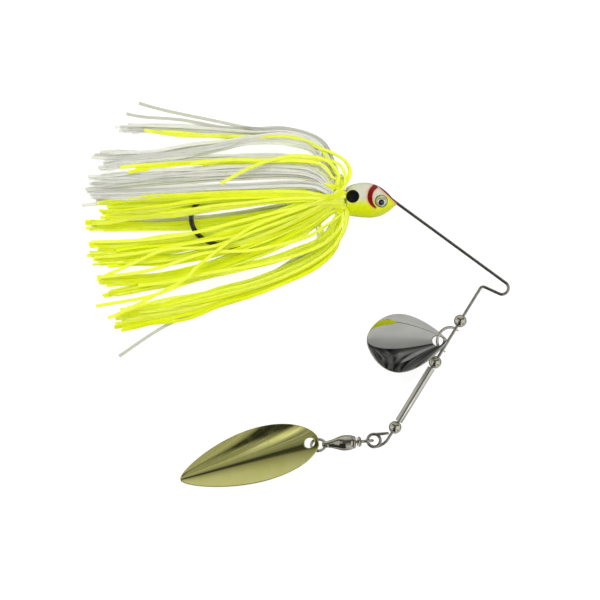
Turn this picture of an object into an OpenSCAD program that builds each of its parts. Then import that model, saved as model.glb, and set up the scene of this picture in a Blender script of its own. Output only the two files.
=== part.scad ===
// Tandem safety-pin lure: lead head on a bent wire frame, silicone skirt on a
// single hook, one wide blade on a clevis and one long blade on a ball swivel.
// The lure lies on its side, so the wire frame is parallel to the ground.

/* [Wire frame] */
// Diameter of the stainless frame wire (mm)
wire_d = 0.96; // [0.80:0.02:1.10]
// Length of the straight arm from the head to the line tie (mm)
arm_len = 42.3; // [40.0:0.1:44.0]
// Bend radius of the line tie, at the wire's centre (mm)
tie_r = 2.0; // [1.7:0.1:2.4]
// Radius of the doubled eye that carries the swivel (mm)
eye_r = 2.0; // [1.8:0.1:2.2]

/* [Head and hook] */
// Thickness of the lead head (mm)
head_t = 8.4; // [7.4:0.2:9.4]
// Diameter of the hook wire (mm)
hook_d = 1.6; // [1.3:0.1:1.8]
// Diameter of the glued eye (mm)
eye_d = 3.9; // [3.2:0.1:4.2]

/* [Skirt] */
// Thickness of the strand bundles (mm)
strand_t = 0.9; // [0.5:0.1:1.0]
// Width of the strand bundles at mid length (mm)
strand_w = 4.0; // [2.5:0.1:4.4]
// Outside radius of the rubber band round the skirt (mm)
band_r = 5.2; // [4.9:0.1:5.4]

/* [Beads and tube] */
// Diameter of the three beads on the wire (mm)
bead_d = 4.0; // [3.2:0.1:4.4]
// Bore of the beads, tube and clevis holes (mm)
bore_d = 1.1; // [1.08:0.01:1.14]
// Outside diameter of the spacer tube (mm)
tube_d = 2.4; // [2.0:0.1:2.8]

/* [Blades] */
// Radius of the clevis arch, at the strip's centre (mm)
clevis_r = 3.9; // [3.8:0.1:4.2]
// Thickness of both blades (mm)
sheet = 0.55; // [0.45:0.05:0.65]
// Diameter of the hole in both blades (mm)
hole_d = 3.4; // [3.2:0.1:3.6]
// Length of the wide blade (mm)
wide_len = 25.5; // [24.0:0.1:27.0]
// Width of the wide blade (mm)
wide_w = 20.8; // [18.0:0.2:21.0]
// Depth of the wide blade's bowl (mm)
wide_depth = 2.3; // [1.5:0.1:3.2]
// Length of the long blade (mm)
long_len = 46.4; // [44.0:0.1:48.0]
// Width of the long blade (mm)
long_w = 18.4; // [16.0:0.2:19.0]
// Depth of the long blade's bowl (mm)
long_depth = 2.2; // [1.5:0.1:3.4]

/* [Hidden] */
$fn = 32;

// Placing the box of the whole lure on the origin.
shift_x = -0.5;
shift_y = -0.5;
// Height of the wire frame's plane above the ground.
wz = 7.0;
wr = wire_d / 2;
hr = hook_d / 2;

// Heading of the arm, the return leg and the upper arm, in degrees.
arm_a = -36.2;
back_a = 155.5;
up_a = 238.5;
nose = [32.1, 28.8];
corner_r = 1.2;
// Where the wire corner would be if it were sharp.
corner = [58.7, 2.9];
// Distances down the upper arm from that corner.
d_bead1 = 13.0;
d_clevis = 19.9;
d_bead2 = 28.2;
d_bead3 = 52.3;
d_end = 56.5;
eye_c = [24.7, -45.8];
eye_pitch = 0.98;
lead_r = 5.3;

// Skirt hub and hook shank axis.
hub_p = [15.9, 30.9];
hub_tilt = -2.5;

// Swivel heading, and where its parts sit along it.
sw_a = 184.7;
sw_z = 0.735;
ring_at = 17.6;
ring_r = 2.2;
ring_wr = 0.4;
ring_tilt = 36;

// ---------- helpers ----------
function unit(v) = v / norm(v);
function dir(a) = [cos(a), sin(a)];

// Catmull-Rom curve through points p, n steps to each span.
function cr1(a, b, c, d, t) = 0.5 * ((2 * b) + (c - a) * t + (2 * a - 5 * b + 4 * c - d) * t * t + (3 * b - a - 3 * c + d) * t * t * t);
function curve(p, n) = let (m = len(p) - 1) concat(
  [for (i = [0:m - 1], j = [0:n - 1]) cr1(p[max(i - 1, 0)], p[i], p[i + 1], p[min(i + 2, m)], j / n)], [p[m]]);
function tangent(p, i) = unit(p[min(i + 1, len(p) - 1)] - p[max(i - 1, 0)]);

function tube_faces(rings, n) = concat(
  [[for (k = [n - 1:-1:0]) k]],
  [for (i = [0:rings - 2], k = [0:n - 1]) let (a = i * n + k, b = i * n + (k + 1) % n) [a, b, b + n]],
  [for (i = [0:rings - 2], k = [0:n - 1]) let (a = i * n + k, b = i * n + (k + 1) % n) [a, b + n, a + n]],
  [[for (k = [0:n - 1]) (rings - 1) * n + k]]);

// Round bar along a path, with a radius for each point; first is the direction of the first end face.
module bar(p, r, n, first = [0, 0, 0]) {
  m = len(p);
  pts = [for (i = [0:m - 1]) let (t = (i == 0 && norm(first) > 0) ? first : tangent(p, i), s = unit(cross([0, 0, 1], t)), u = cross(t, s))
    for (k = [0:n - 1]) p[i] + r[i] * (cos(360 * k / n) * s + sin(360 * k / n) * u)];
  mirror([0, 0, 0]) polyhedron(pts, [for (f = tube_faces(m, n)) [for (k = [len(f) - 1:-1:0]) f[k]]]);
}

// Cylinder lying along +X.
module rod(l, r) rotate([0, 90, 0]) cylinder(h = l, r = r);
// Arc of round wire that starts at the origin heading +X and turns left by a.
module arc(R, a, r) translate([0, R, 0]) rotate([0, 0, -90]) rotate_extrude(angle = a) translate([R, 0]) circle(r);
module at_heading(p, a, z = 0) translate([p[0], p[1], wz + z]) rotate([0, 0, a]) children();
module placed() translate([shift_x, shift_y, 0]) children();
// On the upper arm at distance d, local X down the arm.
module on_arm(d) at_heading(corner + d * dir(up_a), up_a) children();
// Along the skirt hub, local X towards the nose.
module on_hub() at_heading(hub_p, hub_tilt) children();
// Along the swivel, local X away from the wire eye.
module on_swivel() at_heading(eye_c, sw_a, sw_z) children();

// ---------- wire frame ----------
tie_c = nose + arm_len * dir(arm_a) + tie_r * dir(arm_a - 90);
tie_end = tie_c + tie_r * dir(back_a + 90);
corner_t = corner_r * tan((up_a - back_a) / 2);
lead_start = corner + d_end * dir(up_a);
lead_c = lead_start + lead_r * dir(up_a - 90);
coil_z = [for (i = [0:36]) eye_pitch * i / 24];
coil = concat(
  [concat(lead_start - 0.6 * dir(up_a), [0])],
  [for (i = [0:7]) let (a = up_a + 90 - (up_a - 180) * i / 8) concat(lead_c + lead_r * dir(a), [0])],
  [for (i = [0:36]) concat(eye_c + eye_r * dir(270 - 15 * i), [coil_z[i]])],
  [for (i = [1:3]) concat(eye_c + [1.55 * i, eye_r + 0.04 * i * i], [coil_z[36]])]);

// From inside the head, round the line tie, to the top of the upper arm.
arm_path = [for (q = concat(
  [nose - 5 * dir(arm_a), nose, nose + arm_len * dir(arm_a)],
  [for (i = [1:14]) tie_c + tie_r * dir(arm_a + 90 - (arm_a + 360 - back_a) * i / 14)],
  [for (i = [0:7]) corner - corner_t * dir(back_a) + corner_r * dir(back_a + 90) + corner_r * dir(back_a - 90 + (up_a - back_a) * i / 7)],
  [corner + (corner_t + 0.6) * dir(up_a)])) concat(q, [0])];

module wire_form() color([0.62, 0.62, 0.60]) placed() union() {
  translate([0, 0, wz]) bar(arm_path, [for (i = arm_path) wr * 0.99], 16, concat(dir(arm_a), [0]));
  on_arm(corner_t) rod(d_end - corner_t, wr);
  translate([0, 0, wz]) bar(coil, [for (i = coil) wr * 0.99], 14, concat(dir(up_a), [0]));
}

// ---------- hook ----------
hook_pts = [[22, 30.63], [8, 31.24], [-6, 31.85], [-18.5, 32.4], [-25.2, 31.8], [-30.2, 29.6], [-32.6, 26.0], [-32.6, 22.4],
  [-30.6, 18.9], [-26.6, 16.4], [-20.2, 15.0], [-13.6, 14.5]];
hook_c = [for (q = curve(hook_pts, 5)) concat(q, [0])];
hook_n = len(hook_c) - 1;

module hook() color([0.12, 0.12, 0.13]) placed() translate([0, 0, wz]) union() {
  bar(hook_c, [for (i = [0:hook_n]) i > hook_n - 5 ? hr * (0.08 + 0.92 * sqrt((hook_n - i) / 5)) : hr], 14);
  // Barb, raised towards the shank.
  translate([-19.4, 15.0, 0]) rotate([0, 0, 149]) rotate([0, 90, 0]) cylinder(h = 2.6, r1 = 0.55, r2 = 0.08);
}

// ---------- head ----------
// Station, top edge, bottom edge, half thickness as a share of the fullest.
head_st = [[15.9, 33.6, 25.7, 0.76], [16.3, 34.0, 25.2, 0.84], [17.4, 34.6, 24.9, 0.90], [18.8, 35.0, 24.7, 0.95], [20.4, 35.3, 24.5, 0.99],
  [22.0, 35.4, 24.4, 1.00], [23.6, 35.2, 24.35, 1.00], [25.0, 34.8, 24.5, 0.98], [26.4, 34.2, 24.8, 0.94], [27.6, 33.4, 25.3, 0.88],
  [28.7, 32.5, 25.9, 0.79], [29.7, 31.5, 26.6, 0.67], [30.5, 30.6, 27.3, 0.53], [31.2, 29.9, 27.9, 0.37], [31.7, 29.4, 28.3, 0.24], [32.0, 29.1, 28.5, 0.15]];
head_n = 28;
function sq(c, e) = sign(c) * pow(abs(c), e);
head_pts = [for (s = head_st, k = [0:head_n - 1]) let (a = 360 * k / head_n)
  [s[0], (s[1] + s[2]) / 2 + (s[1] - s[2]) / 2 * sq(cos(a), 0.92), s[3] * head_t / 2 * sq(sin(a), 0.92)]];
eye_p = [27.0, 29.5];
socket_z = head_t / 2 * 0.70;

module head() color([0.93, 0.95, 0.80]) placed() difference() {
  union() {
    translate([0, 0, wz]) polyhedron(head_pts, [for (f = tube_faces(len(head_st), head_n)) [for (k = [len(f) - 1:-1:0]) f[k]]]);
    // Skirt keeper, cast with the head.
    on_hub() translate([-10.6, 0, 0]) rod(11.2, 2.2);
    on_hub() translate([-10.6, 0, 0]) rotate([0, 90, 0]) cylinder(h = 1.4, r1 = 2.2, r2 = 2.6);
  }
  on_hub() translate([-12, 0, 0]) rod(18.2, hr + 0.03);
  at_heading(nose - 5.1 * dir(arm_a), arm_a) rod(8, wr + 0.03);
  for (s = [-1, 1]) translate([eye_p[0], eye_p[1], wz + s * (socket_z + 2)]) cylinder(h = 4, r = eye_d / 2 + 0.05, center = true);
}

module foil() translate([eye_p[0], eye_p[1], wz]) translate([0, 0, socket_z + 0.01]) cylinder(h = 0.25, r = eye_d / 2);
lens_h = 1.0;
lens_R = (eye_d * eye_d / 4 + lens_h * lens_h) / (2 * lens_h);
module lens() translate([eye_p[0], eye_p[1], wz]) translate([0, 0, socket_z + 0.28]) intersection() {
  translate([0, 0, lens_h - lens_R]) sphere(lens_R);
  cylinder(h = 2, r = eye_d / 2 - 0.01);
}
module flip() translate([0, 0, wz]) mirror([0, 0, 1]) translate([0, 0, -wz]) children();
module eye_foil_near() color([0.75, 0.80, 0.62]) placed() foil();
module eye_lens_near() color([0.90, 0.93, 0.90]) placed() lens();
module eye_foil_far() color([0.75, 0.80, 0.62]) placed() flip() foil();
module eye_lens_far() color([0.90, 0.93, 0.90]) placed() flip() lens();

// ---------- skirt ----------
// One flat bundle of strands: angle round the hub, then three points it passes through (x, y, height).
// It leaves the hub forwards, folds back over the band and fans out to its tip.
function bundle_pts(a, m1, m2, tip) = let (c = cos(a), s = sin(a), h = function (x, r) [hub_p[0] + x, hub_p[1] + x * sin(hub_tilt) + r * c, max(wz + r * s, 0.37 + strand_t / 2)])
  curve([h(-6.0, 3.5), h(-3.6, 3.55), h(-2.0, 4.2), h(-1.5, 5.6), h(-3.0, 6.9), h(-6.8, 7.3), m1, m2, tip], 4);
module bundle(a, m1, m2, tip) {
  p = bundle_pts(a, m1, m2, tip);
  m = len(p) - 1;
  s0 = [0, -sin(a), cos(a)];
  s1 = [0, -sign(sin(a)), 0];
  pts = [for (i = [0:m]) let (t = tangent(p, i), f = min(max((i - 15) / 8, 0), 1), s = unit((1 - f) * s0 + f * s1), u = unit(s - (s * t) * t), v = cross(t, u),
      w = (i < 10 ? 1.25 + 0.035 * i : i < 26 ? 1.6 + (strand_w - 1.6) * (i - 10) / 16 : strand_w - 1.2 * (i - 26) / 6) / 2, h = strand_t / 2)
    for (q = [[-w, -h], [w, -h], [w, h], [-w, h]]) p[i] + q[0] * u + q[1] * v];
  polyhedron(pts, [for (f = tube_faces(m + 1, 4)) [for (k = [len(f) - 1:-1:0]) f[k]]]);
}
// Half of the gathered ring of strands under the band.
module hub_half(a0) on_hub() translate([-10.4, 0, 0]) rotate([0, 90, 0]) rotate([0, 0, a0]) rotate_extrude(angle = 172) translate([2.9, 0]) square([1.25, 7.0]);

module skirt_white() color([0.86, 0.87, 0.83]) placed() union() {
  hub_half(4);
  bundle(6, [-5, 52.0, 6.5], [-30, 56.8, 5.5], [-50, 60.2, 2.0]);
  bundle(-32, [-5, 46.2, 3.2], [-30, 50.4, 2.4], [-55.4, 54.4, 1.2]);
  bundle(38, [-5, 42.0, 9.6], [-30, 45.6, 8.4], [-60, 49.4, 2.4]);
  bundle(-58, [-5, 38.6, 1.5], [-30, 40.4, 1.2], [-64.2, 43.6, 0.9]);
  bundle(62, [-5, 35.4, 10.6], [-30, 36.4, 9.6], [-63.4, 38.0, 3.0]);
}
module skirt_chartreuse() color([0.87, 0.92, 0.08]) placed() union() {
  hub_half(184);
  bundle(-102, [-5, 30.6, 0.9], [-30, 32.0, 0.9], [-66.0, 33.0, 0.9]);
  bundle(101, [-5, 28.2, 10.8], [-30, 27.6, 9.8], [-66.4, 26.8, 3.0]);
  bundle(-121, [-5, 24.6, 1.1], [-30, 22.8, 1.1], [-66.2, 20.2, 0.9]);
  bundle(126, [-5, 21.4, 10.2], [-30, 18.4, 9.6], [-64.6, 12.4, 3.0]);
  bundle(-138, [-5, 17.6, 1.6], [-30, 13.4, 1.3], [-65.2, 4.6, 0.9]);
  bundle(146, [-5, 11.8, 8.0], [-30, 5.6, 6.4], [-61.0, -0.6, 3.0]);
  bundle(-160, [-5, 7.6, 3.4], [-30, 1.6, 2.6], [-59.0, -6.6, 1.2]);
  bundle(172, [-5, 3.2, 5.6], [-30, -3.6, 5.2], [-53.6, -11.4, 3.4]);
}
module skirt_band() color([0.05, 0.05, 0.05]) placed() on_hub() translate([-8.2, 0, 0]) rotate([0, 90, 0])
  rotate_extrude() translate([4.25, 0]) square([band_r - 4.25, 2.2]);

// ---------- beads, tube and clevis on the upper arm ----------
module bead(d) color([0.66, 0.66, 0.56]) placed() on_arm(d) rotate([0, 90, 0]) difference() {
  sphere(bead_d / 2);
  cylinder(h = bead_d + 2, r = bore_d / 2, center = true);
}
module bead_upper() bead(d_bead1);
module bead_middle() bead(d_bead2);
module bead_lower() bead(d_bead3);
tube_gap = 0.15;
module spacer_tube() color([0.72, 0.72, 0.68]) placed() on_arm(d_bead2 + bead_d / 2 + tube_gap) rotate([0, 90, 0]) difference() {
  cylinder(h = d_bead3 - d_bead2 - bead_d - 2 * tube_gap, r = tube_d / 2);
  translate([0, 0, -1]) cylinder(h = 40, r = bore_d / 2);
}

// The arch lies in a plane through the wire, raised out of the frame's plane.
arch_tilt = 28;
swing = 32.5;
// Local X down the arm, Y towards the arch's crown, Z square to the arch.
module on_arch() on_arm(d_clevis) mirror([0, 1, 0]) rotate([arch_tilt, 0, 0]) children();
strip_w = 1.1;
strip_t = 0.5;
module clevis() color([0.74, 0.73, 0.68]) placed() on_arch() difference() {
  union() {
    rotate_extrude(angle = 180) translate([clevis_r, 0]) square([strip_t, strip_w], center = true);
    for (s = [-1, 1]) translate([s * clevis_r - strip_t / 2, 0, 0]) rod(strip_t, 1.1);
  }
  translate([-8, 0, 0]) rod(16, bore_d / 2);
}

// ---------- blades ----------
// Half width of a blade at share t of its length; p moves the widest place, q sets how full the ends are.
function half_w(t, w, p, q) = w / 2 * pow(sin(180 * pow(t, p)), q);
// Bowl height at share t along and v across, and crease sharpness e.
function bowl(t, v, d, e) = -d * pow(sin(180 * min(max(t, 0), 1)), 0.7) * pow(abs(v), e);
function ease(i, n) = let (t = i / n) t + 0.0 * t - 0.13 * sin(360 * t);
module blade(len, w, p, q, d, e, rim, nu, nv) {
  t_min = 0.004;
  us = [for (i = [0:nu]) t_min + (1 - 2 * t_min) * ease(i, nu)];
  vs = [for (j = [0:nv]) -1 + 2 * j / nv];
  row = nv + 1;
  grid = [for (z = [1, -1], t = us, v = vs) [t * len - rim, v * half_w(t, w, p, q), bowl(t, v, d, e) + z * sheet / 2]];
  off = row * (nu + 1);
  quads = [for (i = [0:nu - 1], j = [0:nv - 1]) let (a = i * row + j) [a, a + 1, a + row + 1, a + row]];
  top = [for (f = quads) [f[0], f[1], f[2]]];
  top2 = [for (f = quads) [f[0], f[2], f[3]]];
  bot = [for (f = quads) [f[2] + off, f[1] + off, f[0] + off]];
  bot2 = [for (f = quads) [f[3] + off, f[2] + off, f[0] + off]];
  edge = concat([for (j = [0:nv]) j], [for (i = [1:nu]) i * row + nv], [for (j = [nv - 1:-1:0]) nu * row + j], [for (i = [nu - 1:-1:1]) i * row]);
  ne = len(edge);
  side = [for (k = [0:ne - 1]) let (a = edge[k], b = edge[(k + 1) % ne]) [b, a, a + off]];
  side2 = [for (k = [0:ne - 1]) let (a = edge[k], b = edge[(k + 1) % ne]) [b, a + off, b + off]];
  difference() {
    polyhedron(grid, concat(top, top2, bot, bot2, side, side2));
    cylinder(h = 12, r = hole_d / 2, center = true);
  }
}

wide_a = 179.2;
wide_tilt = 28;
wide_pitch = 3.5;
// Where the wide blade hangs: a point on the arch, at the swing angle from its crown.
module on_wide() multmatrix([
    [1, 0, 0, corner[0] + d_clevis * cos(up_a) + clevis_r * (sin(swing) * cos(up_a) + cos(swing) * cos(arch_tilt) * cos(up_a - 90))],
    [0, 1, 0, corner[1] + d_clevis * sin(up_a) + clevis_r * (sin(swing) * sin(up_a) + cos(swing) * cos(arch_tilt) * sin(up_a - 90))],
    [0, 0, 1, wz + clevis_r * cos(swing) * sin(arch_tilt)], [0, 0, 0, 1]])
  rotate([0, 0, wide_a]) rotate([0, wide_pitch, 0]) rotate([wide_tilt, 0, 0]) children();
module wide_blade() color([0.70, 0.71, 0.70]) placed() on_wide() blade(wide_len, wide_w, 1.36, 0.57, wide_depth, 1.9, 3.1, 26, 10);

// ---------- ball swivel ----------
bar_r = 0.43;
sring_r = 1.85;
// Shaft: an eye round the wire, a spindle and a head the balls run under.
module swivel_shaft() color([0.72, 0.70, 0.64]) placed() on_swivel() union() {
  translate([2.3, 0, 0]) rotate([90, 0, 0]) rotate_extrude() translate([sring_r, 0]) circle(bar_r);
  translate([3.95, 0, 0]) rod(3.75, 0.5);
  translate([4.0, 0, 0]) rotate([0, 90, 0]) cylinder(h = 0.4, r1 = 1.1, r2 = 1.6);
  translate([4.4, 0, 0]) rod(0.55, 1.6);
  translate([7.6, 0, 0]) rotate([0, 90, 0]) cylinder(h = 0.5, r1 = 0.5, r2 = 1.25);
  translate([8.1, 0, 0]) rod(0.5, 1.25);
}
module swivel_washer() color([0.60, 0.60, 0.58]) placed() on_swivel() rotate([0, 90, 0]) translate([0, 0, 5.1]) difference() {
  cylinder(h = 0.3, r = 1.4);
  translate([0, 0, -1]) cylinder(h = 3, r = 0.56);
}
// Ring of balls between the head and the cap.
module swivel_balls() color([0.80, 0.80, 0.80]) placed() on_swivel() for (i = [0:5]) rotate([60 * i, 0, 0]) translate([7.28, 0, 1.16]) sphere(0.5);
// Turned barrel, with a flattened tip that is cross-drilled for the ring.
hole_at = 15.4;
module swivel_body() color([0.70, 0.68, 0.60]) placed() on_swivel() difference() {
  rotate([0, 90, 0]) rotate_extrude() polygon([[0, 9.3], [1.75, 9.3], [1.75, 6.72], [2.1, 6.72], [2.25, 7.1], [2.38, 8.2], [2.42, 9.3], [2.25, 10.5],
      [1.85, 11.7], [1.45, 12.9], [1.15, 14.2], [1.15, 15.6], [0.9, 16.1], [0.5, 16.35], [0, 16.4]]);
  translate([hole_at, 0, 0]) rotate([ring_tilt, 0, 0]) {
    rotate([90, 0, 0]) cylinder(h = 6, r = 0.62, center = true);
    for (s = [-1, 1]) translate([0.6, s * 1.55, 0]) cube([3.4, 1.7, 4], center = true);
  }
}
module swivel_cap() color([0.74, 0.72, 0.66]) placed() on_swivel() rotate([0, 90, 0]) translate([0, 0, 5.7]) difference() {
  union() {
    cylinder(h = 0.4, r1 = 1.5, r2 = 2.0);
    translate([0, 0, 0.4]) cylinder(h = 0.6, r = 2.0);
  }
  translate([0, 0, -1]) cylinder(h = 4, r = 0.57);
}

// ---------- ring and long blade ----------
module on_ring() on_swivel() translate([ring_at, 0, 0]) rotate([ring_tilt, 0, 0]) children();
module blade_ring() color([0.62, 0.60, 0.50]) placed() on_ring() rotate_extrude() translate([ring_r, 0]) circle(ring_wr);

long_a = 196.2;
long_tilt = 25;
long_pitch = 9.5;
long_hole = [4.45, -46.6];
long_lift = 0.3;
module on_long() translate([long_hole[0], long_hole[1], wz + sw_z + long_lift]) rotate([0, 0, long_a]) rotate([0, long_pitch, 0]) rotate([long_tilt, 0, 0]) children();
module long_blade() color([0.80, 0.79, 0.44]) placed() on_long() mirror([0, 0, 1]) blade(long_len, long_w, 0.756, 0.64, long_depth, 1.35, 3.1, 32, 12);

wire_form();
hook();
head();
eye_foil_near();
eye_lens_near();
eye_foil_far();
eye_lens_far();
skirt_white();
skirt_chartreuse();
skirt_band();
bead_upper();
clevis();
wide_blade();
bead_middle();
spacer_tube();
bead_lower();
swivel_shaft();
swivel_washer();
swivel_balls();
swivel_body();
swivel_cap();
blade_ring();
long_blade();
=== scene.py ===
import bpy
import math
import random
import numpy as np
from mathutils import Matrix, Vector


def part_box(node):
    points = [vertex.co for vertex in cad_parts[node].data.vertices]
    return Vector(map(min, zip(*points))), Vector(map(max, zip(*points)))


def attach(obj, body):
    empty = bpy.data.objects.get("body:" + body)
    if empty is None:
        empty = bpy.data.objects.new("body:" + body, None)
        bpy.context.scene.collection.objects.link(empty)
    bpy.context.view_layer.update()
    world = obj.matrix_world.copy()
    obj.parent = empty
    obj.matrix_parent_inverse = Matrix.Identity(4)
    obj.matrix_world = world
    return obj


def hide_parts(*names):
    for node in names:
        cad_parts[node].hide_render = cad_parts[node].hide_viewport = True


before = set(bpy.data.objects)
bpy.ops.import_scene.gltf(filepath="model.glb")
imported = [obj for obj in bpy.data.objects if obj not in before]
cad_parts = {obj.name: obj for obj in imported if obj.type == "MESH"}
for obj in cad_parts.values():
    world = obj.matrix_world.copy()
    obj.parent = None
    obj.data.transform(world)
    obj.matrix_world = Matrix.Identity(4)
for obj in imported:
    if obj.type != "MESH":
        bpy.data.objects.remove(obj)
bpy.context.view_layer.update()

MM = 0.001

# ---------------------------------------------------------------- dimensions, as in the CAD source (mm)
SX, SY, WZ = -0.5, -0.5, 7.0
BY = SY + 1.0                     # the paint points below were laid out with SY at -1
WIRE_R, HOOK_R, EYE_D, HEAD_T = 0.48, 0.8, 3.9, 8.4
ARM_A, BACK_A, UP_A = -36.2, 155.5, 238.5
NOSE, ARM_LEN, TIE_R, CORNER_R, CORNER = (32.1, 28.8), 42.3, 2.0, 1.2, (58.7, 2.9)
D_BEAD1, D_CLEVIS, D_BEAD2, D_BEAD3, D_END = 13.0, 19.9, 28.2, 52.3, 56.5
EYE_C, EYE_R, EYE_PITCH, LEAD_R = (24.7, -45.8), 2.0, 0.98, 5.3
HUB_P, HUB_TILT = (15.9, 30.9), -2.5
SW_A, SW_Z, RING_AT, RING_R, RING_WR, RING_TILT, HOLE_AT = 184.7, 0.735, 17.6, 2.2, 0.4, 36.0, 15.4
BEAD_D, BORE_D, TUBE_D, CLEVIS_R, ARCH_TILT, SWING = 4.0, 1.1, 2.4, 3.9, 28.0, 32.5
SHEET, HOLE_D, RIM = 0.55, 3.4, 3.1
EYE_P, SOCKET_Z = (27.0, 29.5), HEAD_T / 2 * 0.70


def d2(a):
    return np.array([math.cos(math.radians(a)), math.sin(math.radians(a))])


def T(x, y, z=0.0):
    return Matrix.Translation((x, y, z))


def R(a, axis):
    return Matrix.Rotation(math.radians(a), 4, axis)


PLACED = T(SX, SY)
MIRROR_Y = Matrix.Diagonal((1, -1, 1, 1))
MIRROR_Z = Matrix.Diagonal((1, 1, -1, 1))


def heading(p, a, z=0.0):
    return PLACED @ T(p[0], p[1], WZ + z) @ R(a, "Z")


def on_arm(d):
    return heading(np.array(CORNER) + d * d2(UP_A), UP_A)


ON_HUB = heading(HUB_P, HUB_TILT)
ON_SWIVEL = heading(EYE_C, SW_A, SW_Z)
ON_RING = ON_SWIVEL @ T(RING_AT, 0) @ R(RING_TILT, "X")
ON_ARCH = on_arm(D_CLEVIS) @ MIRROR_Y @ R(ARCH_TILT, "X")
_arch_point = (on_arm(D_CLEVIS) @ MIRROR_Y @ R(ARCH_TILT, "X")) @ Vector(
    (CLEVIS_R * math.sin(math.radians(SWING)), CLEVIS_R * math.cos(math.radians(SWING)), 0))
ON_WIDE = Matrix.Translation(_arch_point) @ R(179.2, "Z") @ R(3.5, "Y") @ R(28.0, "X")
ON_LONG = PLACED @ T(4.45, -46.6, WZ + SW_Z + 0.3) @ R(196.2, "Z") @ R(9.5, "Y") @ R(25.0, "X") @ MIRROR_Z


# ---------------------------------------------------------------- mesh building
def make(name, parts, smooth=True, sharp=None):
    """One mesh object from a list of (points in mm, faces)."""
    verts, faces, off = [], [], 0
    for v, f in parts:
        v = np.asarray(v, dtype=float)
        verts.append(v)
        faces += [tuple(int(i) + off for i in q) for q in f]
        off += len(v)
    v = np.concatenate(verts) * MM
    me = bpy.data.meshes.new(name)
    me.from_pydata([tuple(p) for p in v], [], faces)
    me.validate(verbose=False)
    bm_fix(me)
    if smooth:
        me.shade_smooth()
    if sharp is not None:
        me.set_sharp_from_angle(angle=math.radians(sharp))
    ob = bpy.data.objects.new(name, me)
    bpy.context.scene.collection.objects.link(ob)
    return ob


def bm_fix(me):
    import bmesh
    bm = bmesh.new()
    bm.from_mesh(me)
    bmesh.ops.recalc_face_normals(bm, faces=bm.faces)
    bm.to_mesh(me)
    bm.free()


def moved(part, m):
    v, f = part
    v = np.asarray(v, dtype=float)
    a = np.array(m)
    return v @ a[:3, :3].T + a[:3, 3], f


def catmull(p, n):
    p = np.asarray(p, dtype=float)
    m = len(p) - 1
    out = []
    for i in range(m):
        a, b, c, d = p[max(i - 1, 0)], p[i], p[i + 1], p[min(i + 2, m)]
        for j in range(n):
            t = j / n
            out.append(0.5 * (2 * b + (c - a) * t + (2 * a - 5 * b + 4 * c - d) * t * t + (3 * b - a - 3 * c + d) * t ** 3))
    out.append(p[m])
    return np.array(out)


def spaced(p, step):
    """The same path with even steps along it."""
    p = np.asarray(p, dtype=float)
    s = np.concatenate([[0], np.cumsum(np.linalg.norm(np.diff(p, axis=0), axis=1))])
    n = max(int(round(s[-1] / step)), 4)
    q = np.linspace(0, s[-1], n + 1)
    return np.stack([np.interp(q, s, p[:, k]) for k in range(3)], axis=1)


def tangents(p):
    t = np.gradient(p, axis=0)
    return t / np.linalg.norm(t, axis=1)[:, None]


def frames(p, first=(0, 0, 1)):
    """Two directions square to the path at each point, carried along it without twist."""
    t = tangents(p)
    u = np.array(first, dtype=float)
    us = []
    for k in range(len(p)):
        u = u - t[k] * np.dot(u, t[k])
        u = u / np.linalg.norm(u)
        us.append(u)
    us = np.array(us)
    return us, np.cross(t, us)


def loft(rings, caps=True, closed=False):
    """Quads between rings of points, each an (n, 3) array."""
    n, m = len(rings[0]), len(rings)
    v = np.concatenate(rings)
    f = []
    for i in range(m if closed else m - 1):
        a0, b0 = i * n, ((i + 1) % m) * n
        for k in range(n):
            f.append((a0 + k, a0 + (k + 1) % n, b0 + (k + 1) % n, b0 + k))
    if caps and not closed:
        f.append(tuple(range(n - 1, -1, -1)))
        f.append(tuple((m - 1) * n + k for k in range(n)))
    return v, f


def tube(p, r, n=20, first=(0, 0, 1), closed=False):
    p = np.asarray(p, dtype=float)
    u, w = frames(p, first)
    r = np.broadcast_to(np.asarray(r, dtype=float), (len(p),))
    a = np.linspace(0, 2 * math.pi, n, endpoint=False)
    rings = [p[i] + r[i] * (np.cos(a)[:, None] * u[i] + np.sin(a)[:, None] * w[i]) for i in range(len(p))]
    return loft(rings, closed=closed)


def lathe(profile, n=56, closed=False):
    """Turned about local X from (x, radius) pairs; closed joins the profile's ends (a ring shape)."""
    a = np.linspace(0, 2 * math.pi, n, endpoint=False)
    rings = [np.stack([np.full(n, x), r * np.cos(a), r * np.sin(a)], axis=1) for x, r in profile]
    return loft(rings, caps=not closed, closed=closed)


def rounded(profile, r, steps=4):
    """A closed polygon of (x, y) with each corner rounded to radius r."""
    out, m = [], len(profile)
    for i in range(m):
        a, b, c = (np.array(profile[(i + k) % m], dtype=float) for k in (-1, 0, 1))
        u, v = a - b, c - b
        lu, lv = np.linalg.norm(u), np.linalg.norm(v)
        u, v = u / lu, v / lv
        e = min(r, lu * 0.45, lv * 0.45)
        p, q = b + u * e, b + v * e
        for k in range(steps + 1):
            t = k / steps
            out.append((1 - t) ** 2 * p + 2 * t * (1 - t) * b + t * t * q)
    return out


def torus(R0, ra, rb=None, n=72, m=20, z=0.0):
    """Round or oval wire bent into a ring about local Z: ra across, rb along Z."""
    rb = ra if rb is None else rb
    b = np.linspace(0, 2 * math.pi, m, endpoint=False)
    rings = []
    for a in np.linspace(0, 2 * math.pi, n, endpoint=False):
        rr = R0 + ra * np.cos(b)
        rings.append(np.stack([rr * math.cos(a), rr * math.sin(a), z + rb * np.sin(b)], axis=1))
    return loft(rings, closed=True)


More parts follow.
